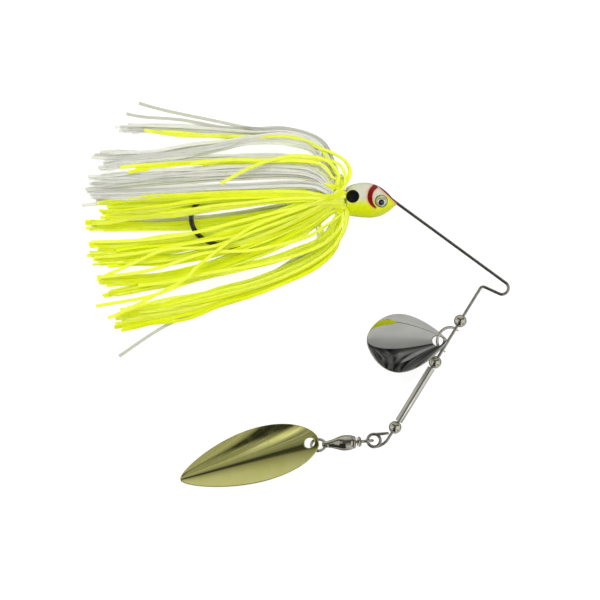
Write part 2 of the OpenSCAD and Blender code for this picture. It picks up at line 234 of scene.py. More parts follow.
def cut(ob, cutters):
    """Cuts the cutters out of the object and keeps the result as plain mesh."""
    for c in cutters:
        mod = ob.modifiers.new("cut", "BOOLEAN")
        mod.operation, mod.solver, mod.object = "DIFFERENCE", "EXACT", c
    dg = bpy.context.evaluated_depsgraph_get()
    me = bpy.data.meshes.new_from_object(ob.evaluated_get(dg))
    ob.modifiers.clear()
    ob.data = me
    for c in cutters:
        bpy.data.objects.remove(c, do_unlink=True)
    me.shade_smooth()
    me.set_sharp_from_angle(angle=math.radians(28))
    return ob


# ---------------------------------------------------------------- node materials
class Mat:
    def __init__(self, name, **sockets):
        self.m = bpy.data.materials.new(name)
        self.m.use_nodes = True
        self.nt = self.m.node_tree
        self.b = next(n for n in self.nt.nodes if n.type == "BSDF_PRINCIPLED")
        self._co = None
        for k, v in sockets.items():
            self.set(k, v)

    def set(self, key, value):
        s = self.b.inputs[key.replace("_", " ")]
        s.default_value = (*value, 1.0) if isinstance(value, (tuple, list)) and len(value) == 3 and s.type == "RGBA" else value

    def link(self, key, out):
        self.nt.links.new(out, self.b.inputs[key.replace("_", " ")])

    def node(self, kind, **inputs):
        n = self.nt.nodes.new(kind)
        for k, v in inputs.items():
            self.feed(n.inputs[k.replace("_", " ")], v)
        return n

    def feed(self, sock, v):
        if isinstance(v, bpy.types.NodeSocket):
            self.nt.links.new(v, sock)
        else:
            sock.default_value = (*v, 1.0) if isinstance(v, (tuple, list)) and len(v) == 3 and sock.type == "RGBA" else v

    def co(self):
        """Object coordinates in mm."""
        if self._co is None:
            tc = self.nt.nodes.new("ShaderNodeTexCoord")
            sc = self.nt.nodes.new("ShaderNodeVectorMath")
            sc.operation = "SCALE"
            sc.inputs["Scale"].default_value = 1000.0
            self.nt.links.new(tc.outputs["Object"], sc.inputs[0])
            self._co = sc.outputs[0]
        return self._co

    def xyz(self, v=None):
        n = self.nt.nodes.new("ShaderNodeSeparateXYZ")
        self.nt.links.new(v or self.co(), n.inputs[0])
        return n.outputs[0], n.outputs[1], n.outputs[2]

    def stretch(self, rot, scale):
        """mm coordinates turned by rot degrees about Z and scaled along each axis."""
        n = self.nt.nodes.new("ShaderNodeMapping")
        n.inputs["Rotation"].default_value = (0, 0, math.radians(rot))
        n.inputs["Scale"].default_value = scale
        self.nt.links.new(self.co(), n.inputs["Vector"])
        return n.outputs[0]

    def math(self, op, *args, clamp=False):
        n = self.nt.nodes.new("ShaderNodeMath")
        n.operation, n.use_clamp = op, clamp
        for i, a in enumerate(args):
            self.feed(n.inputs[i], a)
        return n.outputs[0]

    def step(self, v, lo, hi, a=0.0, b=1.0):
        """Smooth change from a to b as v goes from lo to hi."""
        n = self.nt.nodes.new("ShaderNodeMapRange")
        n.interpolation_type = "SMOOTHSTEP"
        for i, x in zip((0, 1, 2, 3, 4), (v, lo, hi, a, b)):
            self.feed(n.inputs[i], x)
        return n.outputs[0]

    def noise(self, scale, detail=2.0, rough=0.5, vec=None, kind="Fac"):
        n = self.nt.nodes.new("ShaderNodeTexNoise")
        n.inputs["Scale"].default_value = scale
        n.inputs["Detail"].default_value = detail
        n.inputs["Roughness"].default_value = rough
        self.nt.links.new(vec or self.co(), n.inputs["Vector"])
        return n.outputs[kind]

    def mix(self, fac, a, b, blend="MIX"):
        n = self.nt.nodes.new("ShaderNodeMix")
        n.data_type, n.blend_type = "RGBA", blend
        self.feed(n.inputs[0], fac)
        self.feed(n.inputs[6], a)
        self.feed(n.inputs[7], b)
        return n.outputs[2]

    def bump(self, height, distance, strength=1.0):
        n = self.nt.nodes.new("ShaderNodeBump")
        n.inputs["Strength"].default_value = strength
        n.inputs["Distance"].default_value = distance * MM
        self.nt.links.new(height, n.inputs["Height"])
        self.nt.links.new(n.outputs[0], self.b.inputs["Normal"])


def metal(name, colour, dark, rough, rough_to, grain=3.0, lines=None, bump=0.004, coat=0.0):
    """Plated metal: slow tint change, smudges in the gloss, fine drawn or polished scratches."""
    m = Mat(name, Metallic=1.0)
    if coat:
        m.set("Coat_Weight", coat)
        m.set("Coat_Roughness", 0.08)
    m.link("Base_Color", m.mix(m.step(m.noise(grain * 0.16, 3.0), 0.35, 0.75), colour, dark))
    smudge = m.step(m.noise(grain * 0.35, 4.0, 0.6), 0.38, 0.72)
    fine = m.noise(grain * 6.0, 2.0, 0.6)
    m.link("Roughness", m.math("ADD", m.math("MULTIPLY", smudge, rough_to - rough), m.math("MULTIPLY_ADD", fine, 0.04, rough - 0.02)))
    if lines:
        rot, scale = lines
        h = m.noise(1.0, 3.0, 0.65, vec=m.stretch(rot, scale))
    else:
        h = m.noise(grain * 4.0, 3.0, 0.6)
    m.bump(h, bump)
    return m.m


# ---------------------------------------------------------------- wire form
def on_plane(pts):
    return np.array([[p[0] + SX, p[1] + SY, WZ + (p[2] if len(p) > 2 else 0.0)] for p in pts])


def wire_path():
    nose, corner, eye = np.array(NOSE), np.array(CORNER), np.array(EYE_C)
    tie_c = nose + ARM_LEN * d2(ARM_A) + TIE_R * d2(ARM_A - 90)
    ct = CORNER_R * math.tan(math.radians((UP_A - BACK_A) / 2))
    cc = corner - ct * d2(BACK_A) + CORNER_R * d2(BACK_A + 90)
    start = corner + D_END * d2(UP_A)
    lead_c = start + LEAD_R * d2(UP_A - 90)
    p = [nose - 5 * d2(ARM_A)] + [nose + ARM_LEN * d2(ARM_A) * k / 24 for k in range(24)]
    p += [tie_c + TIE_R * d2(ARM_A + 90 - (ARM_A + 360 - BACK_A) * i / 40) for i in range(41)]
    q, e = p[-1], cc + CORNER_R * d2(BACK_A - 90)
    p += [q + (e - q) * k / 8 for k in range(1, 8)]
    p += [cc + CORNER_R * d2(BACK_A - 90 + (UP_A - BACK_A) * i / 20) for i in range(21)]
    q = p[-1]
    p += [q + (start - q) * k / 40 for k in range(1, 40)]
    p += [lead_c + LEAD_R * d2(UP_A + 90 - (UP_A - 180) * i / 16) for i in range(17)]
    p = [(a[0], a[1], 0.0) for a in p]
    for i in range(0, 109):
        a = 270 - 5 * i
        c = eye + EYE_R * d2(a)
        p.append((c[0], c[1], EYE_PITCH * i / 72))
    z = p[-1][2]
    p += [(eye[0] + 1.55 * k / 3, eye[1] + EYE_R + 0.04 * (k / 3) ** 2, z) for k in range(1, 10)]
    out = [p[0]]
    for a in p[1:]:
        if math.dist(a, out[-1]) > 0.02:
            out.append(a)
    return on_plane(out)


wp = wire_path()
wr = np.full(len(wp), WIRE_R)
wr[-2:] = [WIRE_R * 0.96, WIRE_R * 0.80]
wire = make("wire", [tube(wp, wr, 24)], sharp=50)

# ---------------------------------------------------------------- hook
HOOK = [(22, 30.63), (8, 31.24), (-6, 31.85), (-18.5, 32.4), (-25.2, 31.8), (-30.2, 29.6), (-32.6, 26.0), (-32.6, 22.4),
        (-30.6, 18.9), (-26.6, 16.4), (-20.2, 15.0), (-13.6, 14.5)]
hook_line = catmull(on_plane(HOOK), 16)
n = len(hook_line)
hr = np.array([HOOK_R if n - 1 - i > 16 else HOOK_R * (0.06 + 0.94 * math.sqrt((n - 1 - i) / 16)) for i in range(n)])
# The real bend is forged a little flat; here the wire stays round. The barb is a sliver raised towards the shank.
body = tube(hook_line, hr, 24)
base = on_plane([(-19.4, 15.0)])[0]
bd = np.array([math.cos(math.radians(149)), math.sin(math.radians(149)), 0])
bl = np.linspace(0, 2.6, 9)
barb = tube([base + bd * x for x in bl], [0.55 * (1 - x / 2.6) ** 0.8 + 0.06 for x in bl], 14)
hook = make("hook_wire", [body, barb], sharp=60)

# ---------------------------------------------------------------- head
ST = np.array([[15.9, 33.6, 25.7, 0.76], [16.3, 34.0, 25.2, 0.84], [17.4, 34.6, 24.9, 0.90], [18.8, 35.0, 24.7, 0.95], [20.4, 35.3, 24.5, 0.99],
               [22.0, 35.4, 24.4, 1.00], [23.6, 35.2, 24.35, 1.00], [25.0, 34.8, 24.5, 0.98], [26.4, 34.2, 24.8, 0.94], [27.6, 33.4, 25.3, 0.88],
               [28.7, 32.5, 25.9, 0.79], [29.7, 31.5, 26.6, 0.67], [30.5, 30.6, 27.3, 0.53], [31.2, 29.9, 27.9, 0.37], [31.7, 29.4, 28.3, 0.24],
               [32.0, 29.1, 28.5, 0.15]])


def head_mesh():
    s = catmull(ST, 6)
    a = np.linspace(0, 2 * math.pi, 72, endpoint=False)
    c = np.sign(np.cos(a)) * np.abs(np.cos(a)) ** 0.94
    q = np.sign(np.sin(a)) * np.abs(np.sin(a)) ** 0.94
    rings = []
    x0, top0, bot0, th0 = ST[0]
    for e in (0.55, 0.78, 0.91):
        mid, half = (top0 + bot0) / 2, (top0 - bot0) / 2
        x = x0 + 0.30 * (1 - e)
        rings.append(np.stack([np.full(72, x0 - 0.0 + (x - x0) * 0.1), mid + half * e * c, th0 * e * HEAD_T / 2 * q], axis=1))
    for x, top, bot, th in s:
        rings.append(np.stack([np.full(72, x), (top + bot) / 2 + (top - bot) / 2 * c, th * HEAD_T / 2 * q], axis=1))
    x1, top1, bot1, th1 = ST[-1]
    for dx, e in ((0.05, 0.8), (0.07, 0.5)):
        rings.append(np.stack([np.full(72, x1 + dx - 0.07), (top1 + bot1) / 2 + (top1 - bot1) / 2 * e * c, th1 * e * HEAD_T / 2 * q], axis=1))
    rings[-1][:, 0] = x1 + 0.0
    rings[-2][:, 0] = x1 + 0.0
    v, f = loft(rings)
    v = v + np.array([SX, SY, WZ])
    return v, f


def socket(side):
    pr = [(SOCKET_Z, 0.0), (SOCKET_Z, EYE_D / 2 + 0.05), (SOCKET_Z + 0.75, EYE_D / 2 + 0.06), (SOCKET_Z + 3.0, EYE_D / 2 + 0.85), (SOCKET_Z + 3.0, 0.0)]
    v, f = lathe([(x, max(r, 0.001)) for x, r in pr], 64)
    m = T(EYE_P[0] + SX, EYE_P[1] + SY, WZ) @ R(-90 * side, "Y")
    return make("cutter", [moved((v, f), m)], smooth=False)


head = make("head_cast", [head_mesh()])
cut(head, [socket(1), socket(-1)])
keeper = moved(lathe([(-10.6, 2.0), (-10.5, 2.2), (-9.2, 2.62), (-9.0, 2.5), (-8.9, 2.2), (-6, 2.2), (-3, 2.2), (0.6, 2.2)], 40), ON_HUB)
head_keeper = make("head_keeper", [keeper], sharp=35)


# A domed eye on a foil disc, one on each side.
def eye_dome(side):
    r, h = EYE_D / 2 - 0.01, 1.0
    Rr = (r * r + h * h) / (2 * h)
    z0 = SOCKET_Z + 0.28
    pr = [(z0, 0.01), (z0, r * 0.97), (z0 + 0.05, r)]
    for k in range(1, 15):
        x = r * (1 - k / 14)
        pr.append((z0 + h - Rr + math.sqrt(Rr * Rr - x * x), max(x, 0.01)))
    m = T(EYE_P[0] + SX, EYE_P[1] + SY, WZ) @ R(-90 * side, "Y")
    return moved(lathe(pr, 56), m)


eye_near = make("eye_dome_near", [eye_dome(1)], sharp=60)
eye_far = make("eye_dome_far", [eye_dome(-1)], sharp=60)

# ---------------------------------------------------------------- rubber band round the skirt
prof = rounded([(-8.2, 4.25), (-6.0, 4.25), (-6.0, 5.2), (-8.2, 5.2)], 0.42, 5)
band = make("skirt_band_ring", [moved(lathe(prof, 72, closed=True), ON_HUB)], sharp=70)

# ---------------------------------------------------------------- skirt strands
# Each bundle: name, colour, number of strands, where round the hub it starts and how far it spreads there (degrees),
# how far it spreads sideways at each point (mm), and the points its middle strand passes through (mm).
BUNDLES = [
    ("w_top_a", "w", 1, 8, 3, (0, 0), [(12.4, 38.5, 7.6), (8.6, 47.0, 6.8), (-1.5, 51.6, 5.8), (-11.5, 51.7, 4.6), (-25, 54.1, 3.4), (-50, 60.3, 2)]),
    ("w_top_b", "w", 1, 2, 3, (0, 0), [(12.4, 38.8, 7.1), (8.2, 47.6, 6.4), (-2.5, 51.9, 5.4), (-13, 52.1, 4.4), (-28, 53.2, 3.2), (-54, 57.2, 2)]),
    ("w_up", "w", 9, 5, 20, (0.5, 1.3, 1.3, 0.9, 1.0, 1.4), [(12.0, 39.0, 7), (7.4, 47.2, 7), (-1.9, 50.8, 6), (-12.4, 50.7, 4.5), (-29.4, 51.8, 3.2), (-57.2, 52.5, 2)]),
    ("y_up", "y", 1, 12, 6, (0.3, 0.4, 0.4, 0.3, 0.3, 0.4), [(12.1, 37.9, 8), (6.6, 46.4, 7.5), (-2.6, 49.4, 7), (-12.4, 49.4, 5.5), (-24.2, 49.6, 4.6), (-48.4, 51.2, 4)]),
    ("w_down", "w", 10, -8, 24, (0.8, 1.5, 1.7, 1.1, 1.3, 2.0), [(12.1, 37.3, 6.5), (6.6, 44.9, 6.5), (-1.9, 48.4, 6), (-13.7, 48.4, 4.6), (-29.4, 45.9, 3.4), (-60, 41.3, 2.4)]),
    ("w_flat", "w", 6, -4, 16, (0.6, 1.2, 1.2, 0.9, 1.0, 1.2), [(12, 37, 6.2), (6.3, 44.4, 6.2), (-2.2, 47.6, 5.8), (-14, 48, 4.4), (-33, 44.5, 3.2), (-64.5, 43.4, 2)]),
    ("w_mid_hi", "w", 7, 25, 12, (0.4, 0.8, 0.9, 0.9, 1.3, 1.6), [(10.2, 35.9, 9.5), (6.2, 39.6, 8.5), (-1.3, 42.4, 7), (-11, 43.3, 5), (-27, 42.3, 3.5), (-63.4, 40.6, 2)]),
    ("y_mid_hi", "y", 3, 30, 8, (0.3, 0.5, 0.5, 0.4, 0.5, 0.6), [(10.4, 35.9, 10), (6.3, 39.4, 9), (-1.9, 41.4, 7.8), (-14.4, 41.6, 6), (-28, 41.6, 5), (-56, 39.3, 4)]),
    ("w_main", "w", 19, 48, 22, (0.8, 1.6, 2.0, 2.1, 2.3, 2.4), [(10.2, 33.3, 11.5), (6.3, 36.8, 10.6), (-0.6, 38.4, 9), (-14.4, 38.3, 7.5), (-37.2, 36.9, 5), (-66.2, 34.6, 2.5)]),
    ("w_low", "w", 10, 72, 16, (0.5, 0.8, 1.0, 1.0, 1.0, 1.3), [(10, 31.9, 12.8), (5.3, 33.8, 11.8), (-3.2, 34.1, 10), (-16.3, 33.4, 9.4), (-28, 32.9, 9.0), (-40.2, 32.2, 8.6), (-65, 31.0, 3)]),
    ("w_under", "w", 6, -95, 30, (0.6, 1.0, 1.3, 1.1, 0.9, 1.4), [(10.2, 29.4, 0.9), (3.3, 28.6, 1.2), (-7.2, 26.8, 1.6), (-18.9, 25.0, 1.6), (-34, 23.5, 1.3), (-64.1, 21.6, 0.9)]),
    ("w_under_hi", "w", 4, -70, 24, (0.6, 1.0, 1.0, 0.9, 0.7, 0.7), [(10.2, 32, 0.9), (3.3, 33.2, 1.4), (-5.8, 33.6, 1.9), (-18.9, 33, 2), (-37.2, 31.4, 1.6), (-67, 28.4, 1)]),
    ("y_band", "y", 8, 88, 12, (0.4, 0.7, 0.8, 0.8, 0.8, 0.8), [(10.1, 30.1, 12.9), (3.3, 31.3, 11.9), (-5.8, 31.6, 10.3), (-18.9, 31.4, 9.6), (-37.2, 30.5, 9.2), (-62.5, 29.0, 3.2)]),
    ("y_band_b", "y", 5, 94, 8, (0.3, 0.5, 0.5, 0.6, 0.6, 0.7, 0.8), [(10.1, 29.8, 12.9), (3.3, 30.4, 11.9), (-8, 30, 10.3), (-20, 29.6, 9.6), (-34, 28.6, 9.4), (-45, 26.4, 8.6), (-62.5, 25.6, 3.2)]),
    ("y_cross", "y", 8, 100, 12, (0.4, 0.6, 0.7, 0.8, 0.9, 1.3), [(10.1, 29.4, 12.8), (2, 29.6, 11.8), (-9.1, 28.9, 10.2), (-22.9, 27.2, 9.6), (-38.5, 25.2, 8.4), (-64, 23.3, 3)]),
    ("y_behind", "y", 9, -110, 20, (0.5, 1.2, 1.6, 1.7, 1.3, 1.6), [(10.2, 28.1, 0.9), (2, 26.3, 1.5), (-8.5, 24.6, 2.4), (-21.5, 22.4, 3), (-40.5, 21.2, 2.4), (-66, 21.4, 1.4)]),
    ("y_big", "y", 23, 122, 26, (0.8, 2.2, 3.4, 4.3, 4.1, 3.6, 3.5), [(10.2, 27.4, 12.2), (3.3, 25, 11.2), (-7.2, 21.4, 10.0), (-18.5, 18.0, 9.6), (-28.5, 15.4, 4.4), (-42.8, 12.8, 4), (-65.4, 12.2, 2.6)]),
    ("y_big_under", "y", 9, -128, 24, (0.8, 2, 2.8, 3.6, 3.4, 3.4), [(10.2, 26.5, 1), (3.3, 24, 1.6), (-7.2, 19.9, 2.2), (-21.5, 16.3, 2.4), (-41.8, 12.8, 1.8), (-64.6, 12, 1)]),
    ("y_third", "y", 13, 138, 14, (0.5, 1.1, 1.7, 2.1, 1.8, 1.5, 1.6), [(10.5, 25.8, 11.6), (4, 21.4, 10.4), (-5.8, 16.0, 8.6), (-18.9, 11.2, 6), (-30, 7.6, 5), (-42, 5.0, 4.2), (-63.7, 4.2, 2.6)]),
    ("y_third_u", "y", 5, -140, 14, (0.5, 1.0, 1.4, 1.5, 1.4, 1.3, 1.5), [(10.5, 25.5, 2), (4, 20.9, 2.2), (-5.8, 15.4, 2.4), (-18.9, 10.2, 2.2), (-30, 7.0, 2), (-42, 4.8, 1.8), (-62.8, 3.6, 1)]),
    ("y_fourth", "y", 7, 152, 12, (0.5, 0.9, 1.0, 1.0, 0.9, 0.8, 0.9, 1.1), [(11.4, 23.0, 10.5), (8, 17.6, 9.2), (-1, 12.9, 7.4), (-10, 9.8, 6.2), (-19, 8.0, 5.2), (-32, 4.9, 4.4), (-45, 2.4, 3.8), (-60.5, -0.6, 2.4)]),
    ("y_outer", "y", 24, 176, 28, (0.7, 1.5, 2.3, 2.4, 2.6, 2.9, 3.3), [(13, 23.4, 8), (11.0, 15.2, 7), (3.5, 9.2, 5.8), (-11.1, 3.0, 4.6), (-22, -0.3, 4), (-33.3, -4.0, 3.4), (-57.2, -8.3, 2.2)]),
    ("w_in_lower", "w", 4, 160, 30, (0.6, 1.4, 2.0, 2.0, 1.6, 1.6), [(11.8, 23.5, 5.5), (7.2, 16, 5), (-1.3, 10, 4.4), (-13, 4.0, 3.6), (-36, -3.0, 2.6), (-58, -6.4, 1.6)]),
    ("w_lone", "w", 1, -172, 2, (0, 0), [(12.9, 22.2, 4.5), (9.5, 13.6, 4), (1.3, 6.6, 3.4), (-13.7, -0.3, 2.8), (-38.6, -9.2, 2), (-56.6, -19.4, 1.2)]),
    ("y_stray", "y", 1, 158, 2, (0, 0), [(11.9, 21.6, 9.4), (8.6, 16.0, 8.4), (-4, 11.0, 7.0), (-19, 7.0, 5.6), (-34, 3.6, 4.6), (-48, -1.4, 3.6), (-63.6, -3.9, 2.2)]),
    ("y_loop_a", "y", 1, 35, 2, (0, 0), [(12.6, 33.6, 13.0), (12.9, 37.6, 13.3), (8.5, 42.0, 13.4), (-1, 43.2, 12.4), (-10, 41.3, 11.5), (-17, 38.2, 10.6), (-24.3, 34.6, 10)]),
    ("y_loop_b", "y", 1, 28, 2, (0, 0), [(11.4, 36.2, 12.6), (7.9, 40.3, 12.6), (0.7, 41.6, 12), (-7.8, 41.7, 11), (-17.6, 41.9, 9.5), (-33.3, 41.0, 8)]),
    ("y_diag_a", "y", 1, 118, 2, (0, 0), [(9.2, 29.2, 13.4), (0.7, 26.4, 13), (-14.4, 20.6, 12.4), (-30, 9.8, 11), (-38.0, 2.6, 9), (-59.8, -7.6, 4.4)]),
    ("y_diag_b", "y", 1, 150, 2, (0, 0), [(9.5, 21.6, 12.6), (2, 17.3, 12.2), (-13.7, 13.7, 11.4), (-28.1, 12.6, 10.4), (-43.2, 8.4, 8), (-62.3, 4.6, 4)]),
    ("y_diag_c", "y", 1, 130, 2, (0, 0), [(9.5, 27.4, 13), (1.3, 24.8, 12.6), (-11.1, 20.4, 12), (-27.4, 14.6, 11), (-42.9, 13.2, 8.6), (-59.8, 6.2, 4)]),
    ("loop_top_a", "y", 2, 42, 5, (0.2, 0.4, 0.5, 0.5, 0.5, 0.5, 0.5, 0.5), [(13.8, 33.4, 11.2), (16.0, 35.8, 10.6), (16.6, 38.8, 9.8), (15.0, 41.8, 9.2), (11.2, 44.2, 8.6), (7.0, 45.8, 7.6), (0.0, 48.6, 4.6), (-12.0, 49.5, 3.4), (-24.0, 49.5, 4.6), (-46.0, 51.0, 4.0)]),
    ("loop_top_b", "y", 1, 52, 3, (0, 0), [(13.9, 32.5, 11.9), (15.2, 35.0, 11.8), (14.4, 39.2, 11.0), (11.0, 41.6, 10.2), (5.0, 42.0, 9.8), (-8.0, 41.8, 9.0), (-30.0, 41.0, 6.0)]),
    ("loop_low_a", "y", 2, 118, 6, (0.2, 0.3, 0.4, 0.4, 0.5, 0.5, 0.6, 0.8), [(13.4, 28.5, 11.6), (15.4, 26.2, 11.6), (15.6, 22.8, 10.4), (13.6, 17.6, 9.4), (9.6, 12.8, 8.6), (-1.0, 6.6, 7.4), (-21.0, -0.4, 5.4), (-54.0, -7.0, 3.0)]),
    ("loop_low_b", "y", 1, 130, 3, (0, 0), [(13.0, 27.5, 11.8), (14.4, 24.6, 11.6), (13.4, 20.6, 10.8), (8.0, 15.4, 10.2), (-4.0, 10.9, 9.6), (-24.0, 6.9, 8.6), (-50.0, 2.3, 5.0)]),
    ("y_cap", "y", 12, 55, 30, (0.8, 1.0, 1.3, 1.6, 1.8, 2.0), [(11.2, 33.0, 12.9), (7.6, 34.0, 10.4), (0.8, 33.8, 8.9), (-10, 32.4, 8.7), (-34.2, 28.4, 6.0), (-61, 25.8, 3)]),
    ("y_cap_b", "y", 7, 92, 18, (0.6, 1.0, 1.3, 1.4, 1.6, 2.0), [(10.8, 30.2, 13.2), (7.0, 29.0, 12.2), (-2, 26.2, 10.6), (-16, 21.0, 9.8), (-34.2, 17.4, 6.0), (-62, 14.2, 3)]),
    ("y_cross_a", "y", 1, 112, 3, (0, 0), [(9.6, 28.6, 13.3), (-4, 26.0, 12.4), (-20, 22.2, 10.6), (-32, 19.1, 9.6), (-45, 17.2, 7), (-65, 16.2, 3.4)]),
    ("y_cross_b", "y", 1, 116, 3, (0, 0), [(9.6, 28.2, 13.4), (0, 24.2, 12.6), (-14, 19.3, 10.8), (-29.8, 16.4, 9.6), (-45, 13.6, 7), (-64, 11.2, 3.4)]),
    ("y_cross_c", "y", 2, 120, 3, (0.2, 0.4, 0.5, 0.5), [(9.6, 27.8, 13.2), (0, 22.8, 12.4), (-12, 17.8, 10.6), (-23.4, 14.6, 9.6), (-36, 11.6, 7), (-60, 9.0, 3.4)]),
]
STRAND_W, STRAND_T = 1.04, 0.44
hook_xy = hook_line[:, :2]


def hub(x, a, r):
    c, s = math.cos(math.radians(a)), math.sin(math.radians(a))
    v = PLACED @ Vector((HUB_P[0] + x, HUB_P[1] + x * math.sin(math.radians(HUB_TILT)) + r * c, WZ + r * s))
    return [v.x, v.y, v.z]


def keep_clear(p, loop=False):
    """Moves a strand's points off the hook, the band, the head and the ground."""
    ax = HUB_P[1] + SY
    for _ in range(14):
        d = np.linalg.norm(p[:, None, :2] - hook_xy[None, ::3], axis=2).min(axis=1)
        want = np.sqrt(np.clip(1.35 ** 2 - np.clip(d - 0.2, 0, 9) ** 2, 0, 9))
        dz = p[:, 2] - WZ
        near = (np.abs(dz) < want) & (p[:, 0] < 4.0)
        # The whole crossing goes to the side its middle is on.
        i = 0
        while i < len(p):
            if near[i]:
                j = i
                while j + 1 < len(p) and near[j + 1]:
                    j += 1
                side = 1.0 if dz[i:j + 1].mean() > 0 else -1.0
                p[i:j + 1, 2] = WZ + side * want[i:j + 1]
                i = j + 1
            else:
                i += 1
        y0 = HUB_P[1] + SY + (p[:, 0] - HUB_P[0] - SX) * math.sin(math.radians(HUB_TILT))
        dy, dzz = p[:, 1] - y0, p[:, 2] - WZ
        rho = np.sqrt(dy ** 2 + dzz ** 2) + 1e-6
        out = (np.arange(len(p)) > p.shape[0] * 0.10) & (p[:, 0] > 6.4) & (p[:, 0] < 10.8) & (rho < 5.62) & (rho > 3.9)
        k = np.where(out, 5.62 / rho, 1.0)
        p[:, 1], p[:, 2] = y0 + dy * k, WZ + dzz * k
        p[:, 2] = np.clip(p[:, 2], 0.34, 14.2)
        p[:, 0] = np.minimum(p[:, 0], np.where(rho > 4.4, 15.85, 15.2) if not loop else 17.8)
        q = p.copy()
        q[1:-1] = 0.5 * p[1:-1] + 0.25 * (p[:-2] + p[2:])
        p[3:-1, 2] = q[3:-1, 2]
    return p


def strand_line(rnd, b, k):
    name, col, count, phi, dphi, spread, pts = b
    u = 0.0 if count == 1 else -1 + 2 * (k + 0.5) / count
    k2 = (k * (5 if count % 7 == 0 else 7) + 3) % count
    u2 = 0.0 if count == 1 else 0.25 * u + 0.85 * (-1 + 2 * (k2 + rnd.random()) / count)
    pts = np.array(pts, dtype=float)
    t = tangents(pts[:, :2])
    side = np.stack([-t[:, 1], t[:, 0]], axis=1)
    a = phi + dphi * u + rnd.uniform(-5, 5)
    layer = rnd.uniform(-1, 1)
    for j in range(len(pts)):
        m = j / (len(pts) - 1)
        off = spread[min(j, len(spread) - 1)] * 1.12 * ((1 - m) * u + m * u2)
        # The outside of the fan is where angle about the hub grows, so offsets follow the angle.
        pts[j, :2] -= side[j] * off * (1 if math.sin(math.radians(phi)) >= 0 or abs(math.cos(math.radians(phi))) > 0.9 else -1)
        if count > 1:
            pts[j, 2] += layer * (0.35 + 0.75 * math.sin(math.pi * min(m * 1.1, 1)))
    tipd = pts[-1] - pts[-2]
    if count > 1:
        pts[-1] += tipd / np.linalg.norm(tipd) * rnd.uniform(-5.5, 1.1)
    rho = rnd.uniform(3.15, 4.0)
    inner = count > 2 and rnd.random() < 0.40 and name not in ("w_up", "y_outer", "y_cap", "y_cap_b")
    if name.startswith("loop"):
        head_pts = [hub(-7.8, a, rho), hub(-6.0, a, rho), hub(-3.4, a, rho + 0.1)]
    elif inner:
        c = hub(-11.5, a, rho + 0.9)
        head_pts = [hub(-6.4, a, rho), hub(-8.4, a, rho + 0.05), hub(-9.8, a, rho + 0.35), c]
        nxt = pts[1].copy()
        nxt[2] = WZ + (nxt[2] - WZ) * 0.8
        pts = np.vstack([nxt[None], pts[2:]])
    else:
        e = rnd.uniform(-0.95, 0.9)
        grow = rnd.uniform(0.0, 0.9)
        if col == "w" and 20 < a < 150:
            e, grow = rnd.uniform(-2.3, -0.9), -0.6
        head_pts = [hub(-7.8, a, rho), hub(-6.0, a, rho), hub(-3.4, a, rho + 0.1), hub(-1.9 + e * 0.5, a, rho + 0.7 + 0.3 * grow),
                    hub(-1.1 + e, a, rho + 1.7 + 0.5 * grow), hub(-1.9 + e, a, rho + 2.75 + 0.7 * grow), ]
    p = catmull(np.vstack([np.array(head_pts), pts]), 12)
    p = spaced(p, 1.06)
    # Slow waves that grow towards the tip.
    s = np.linspace(0, 1, len(p))
    t = tangents(p)
    side3 = np.stack([-t[:, 1], t[:, 0], np.zeros(len(p))], axis=1)
    amp = rnd.uniform(0.1, 0.62) * np.clip((s - 0.3) / 0.7, 0, 1)
    p += side3 * (amp * np.sin(2 * math.pi * (s * rnd.uniform(1.6, 3.4) + rnd.random())))[:, None]
    return keep_clear(p, name.startswith("loop"))


def strand(rnd, p, twist):
    t = tangents(p)
    y0 = HUB_P[1] + SY + (p[:, 0] - HUB_P[0] - SX) * math.sin(math.radians(HUB_TILT))
    radial = np.stack([np.zeros(len(p)), p[:, 1] - y0, p[:, 2] - WZ], axis=1)
    radial /= np.linalg.norm(radial, axis=1)[:, None] + 1e-9
    up = np.array([0, 0, 1.0])
    f = np.clip((np.arange(len(p)) - 12) / 16, 0, 1)[:, None]
    s0 = -1.0 if radial[0, 2] < 0 else 1.0
    nrm = (1 - f) * radial * s0 + f * up
    nrm -= t * np.sum(nrm * t, axis=1)[:, None]
    nrm /= np.linalg.norm(nrm, axis=1)[:, None] + 1e-9
    wid = np.cross(t, nrm)
    q = np.linspace(0, 1, len(p))
    tw = (rnd.uniform(-twist, twist) * np.sin(2 * math.pi * (q * rnd.uniform(0.4, 1.3) + rnd.random()))) * np.clip((q - 0.12) / 0.25, 0, 1)
    c, s = np.cos(tw)[:, None], np.sin(tw)[:, None]
    a, b = wid * c + nrm * s, nrm * c - wid * s
    w = STRAND_W / 2 * rnd.uniform(0.9, 1.06)
    h = STRAND_T / 2
    sec = [(-w, -h * 0.5), (-w * 0.84, -h), (w * 0.84, -h), (w, -h * 0.5), (w, h * 0.5), (w * 0.84, h), (-w * 0.84, h), (-w, h * 0.5)]
    rings = [p[i] + np.array([x * a[i] + y * b[i] for x, y in sec]) for i in range(len(p))]
    for r in rings:
        r[:, 2] = np.maximum(r[:, 2], 0.04)
    return loft(rings)


def skirt(colour, name, seed):
    rnd = random.Random(seed)
    parts, tone = [], []
    for b in BUNDLES:
        if b[1] != colour:
            continue
        for k in range(b[2]):
            part = strand(rnd, strand_line(rnd, b, k), 0.95 if b[2] > 1 else 0.25)
            parts.append(part)
            tone += [rnd.uniform(0.1, 1) if b[2] > 1 else 0.0 if colour == "w" else 0.8] * len(part[0])
    ob = make(name, parts, sharp=50)
    at = ob.data.attributes.new("tone", "FLOAT", "POINT")
    at.data.foreach_set("value", tone)
    return ob


skirt_w = skirt("w", "skirt_white_strands", 11)
skirt_y = skirt("y", "skirt_chartreuse_strands", 23)


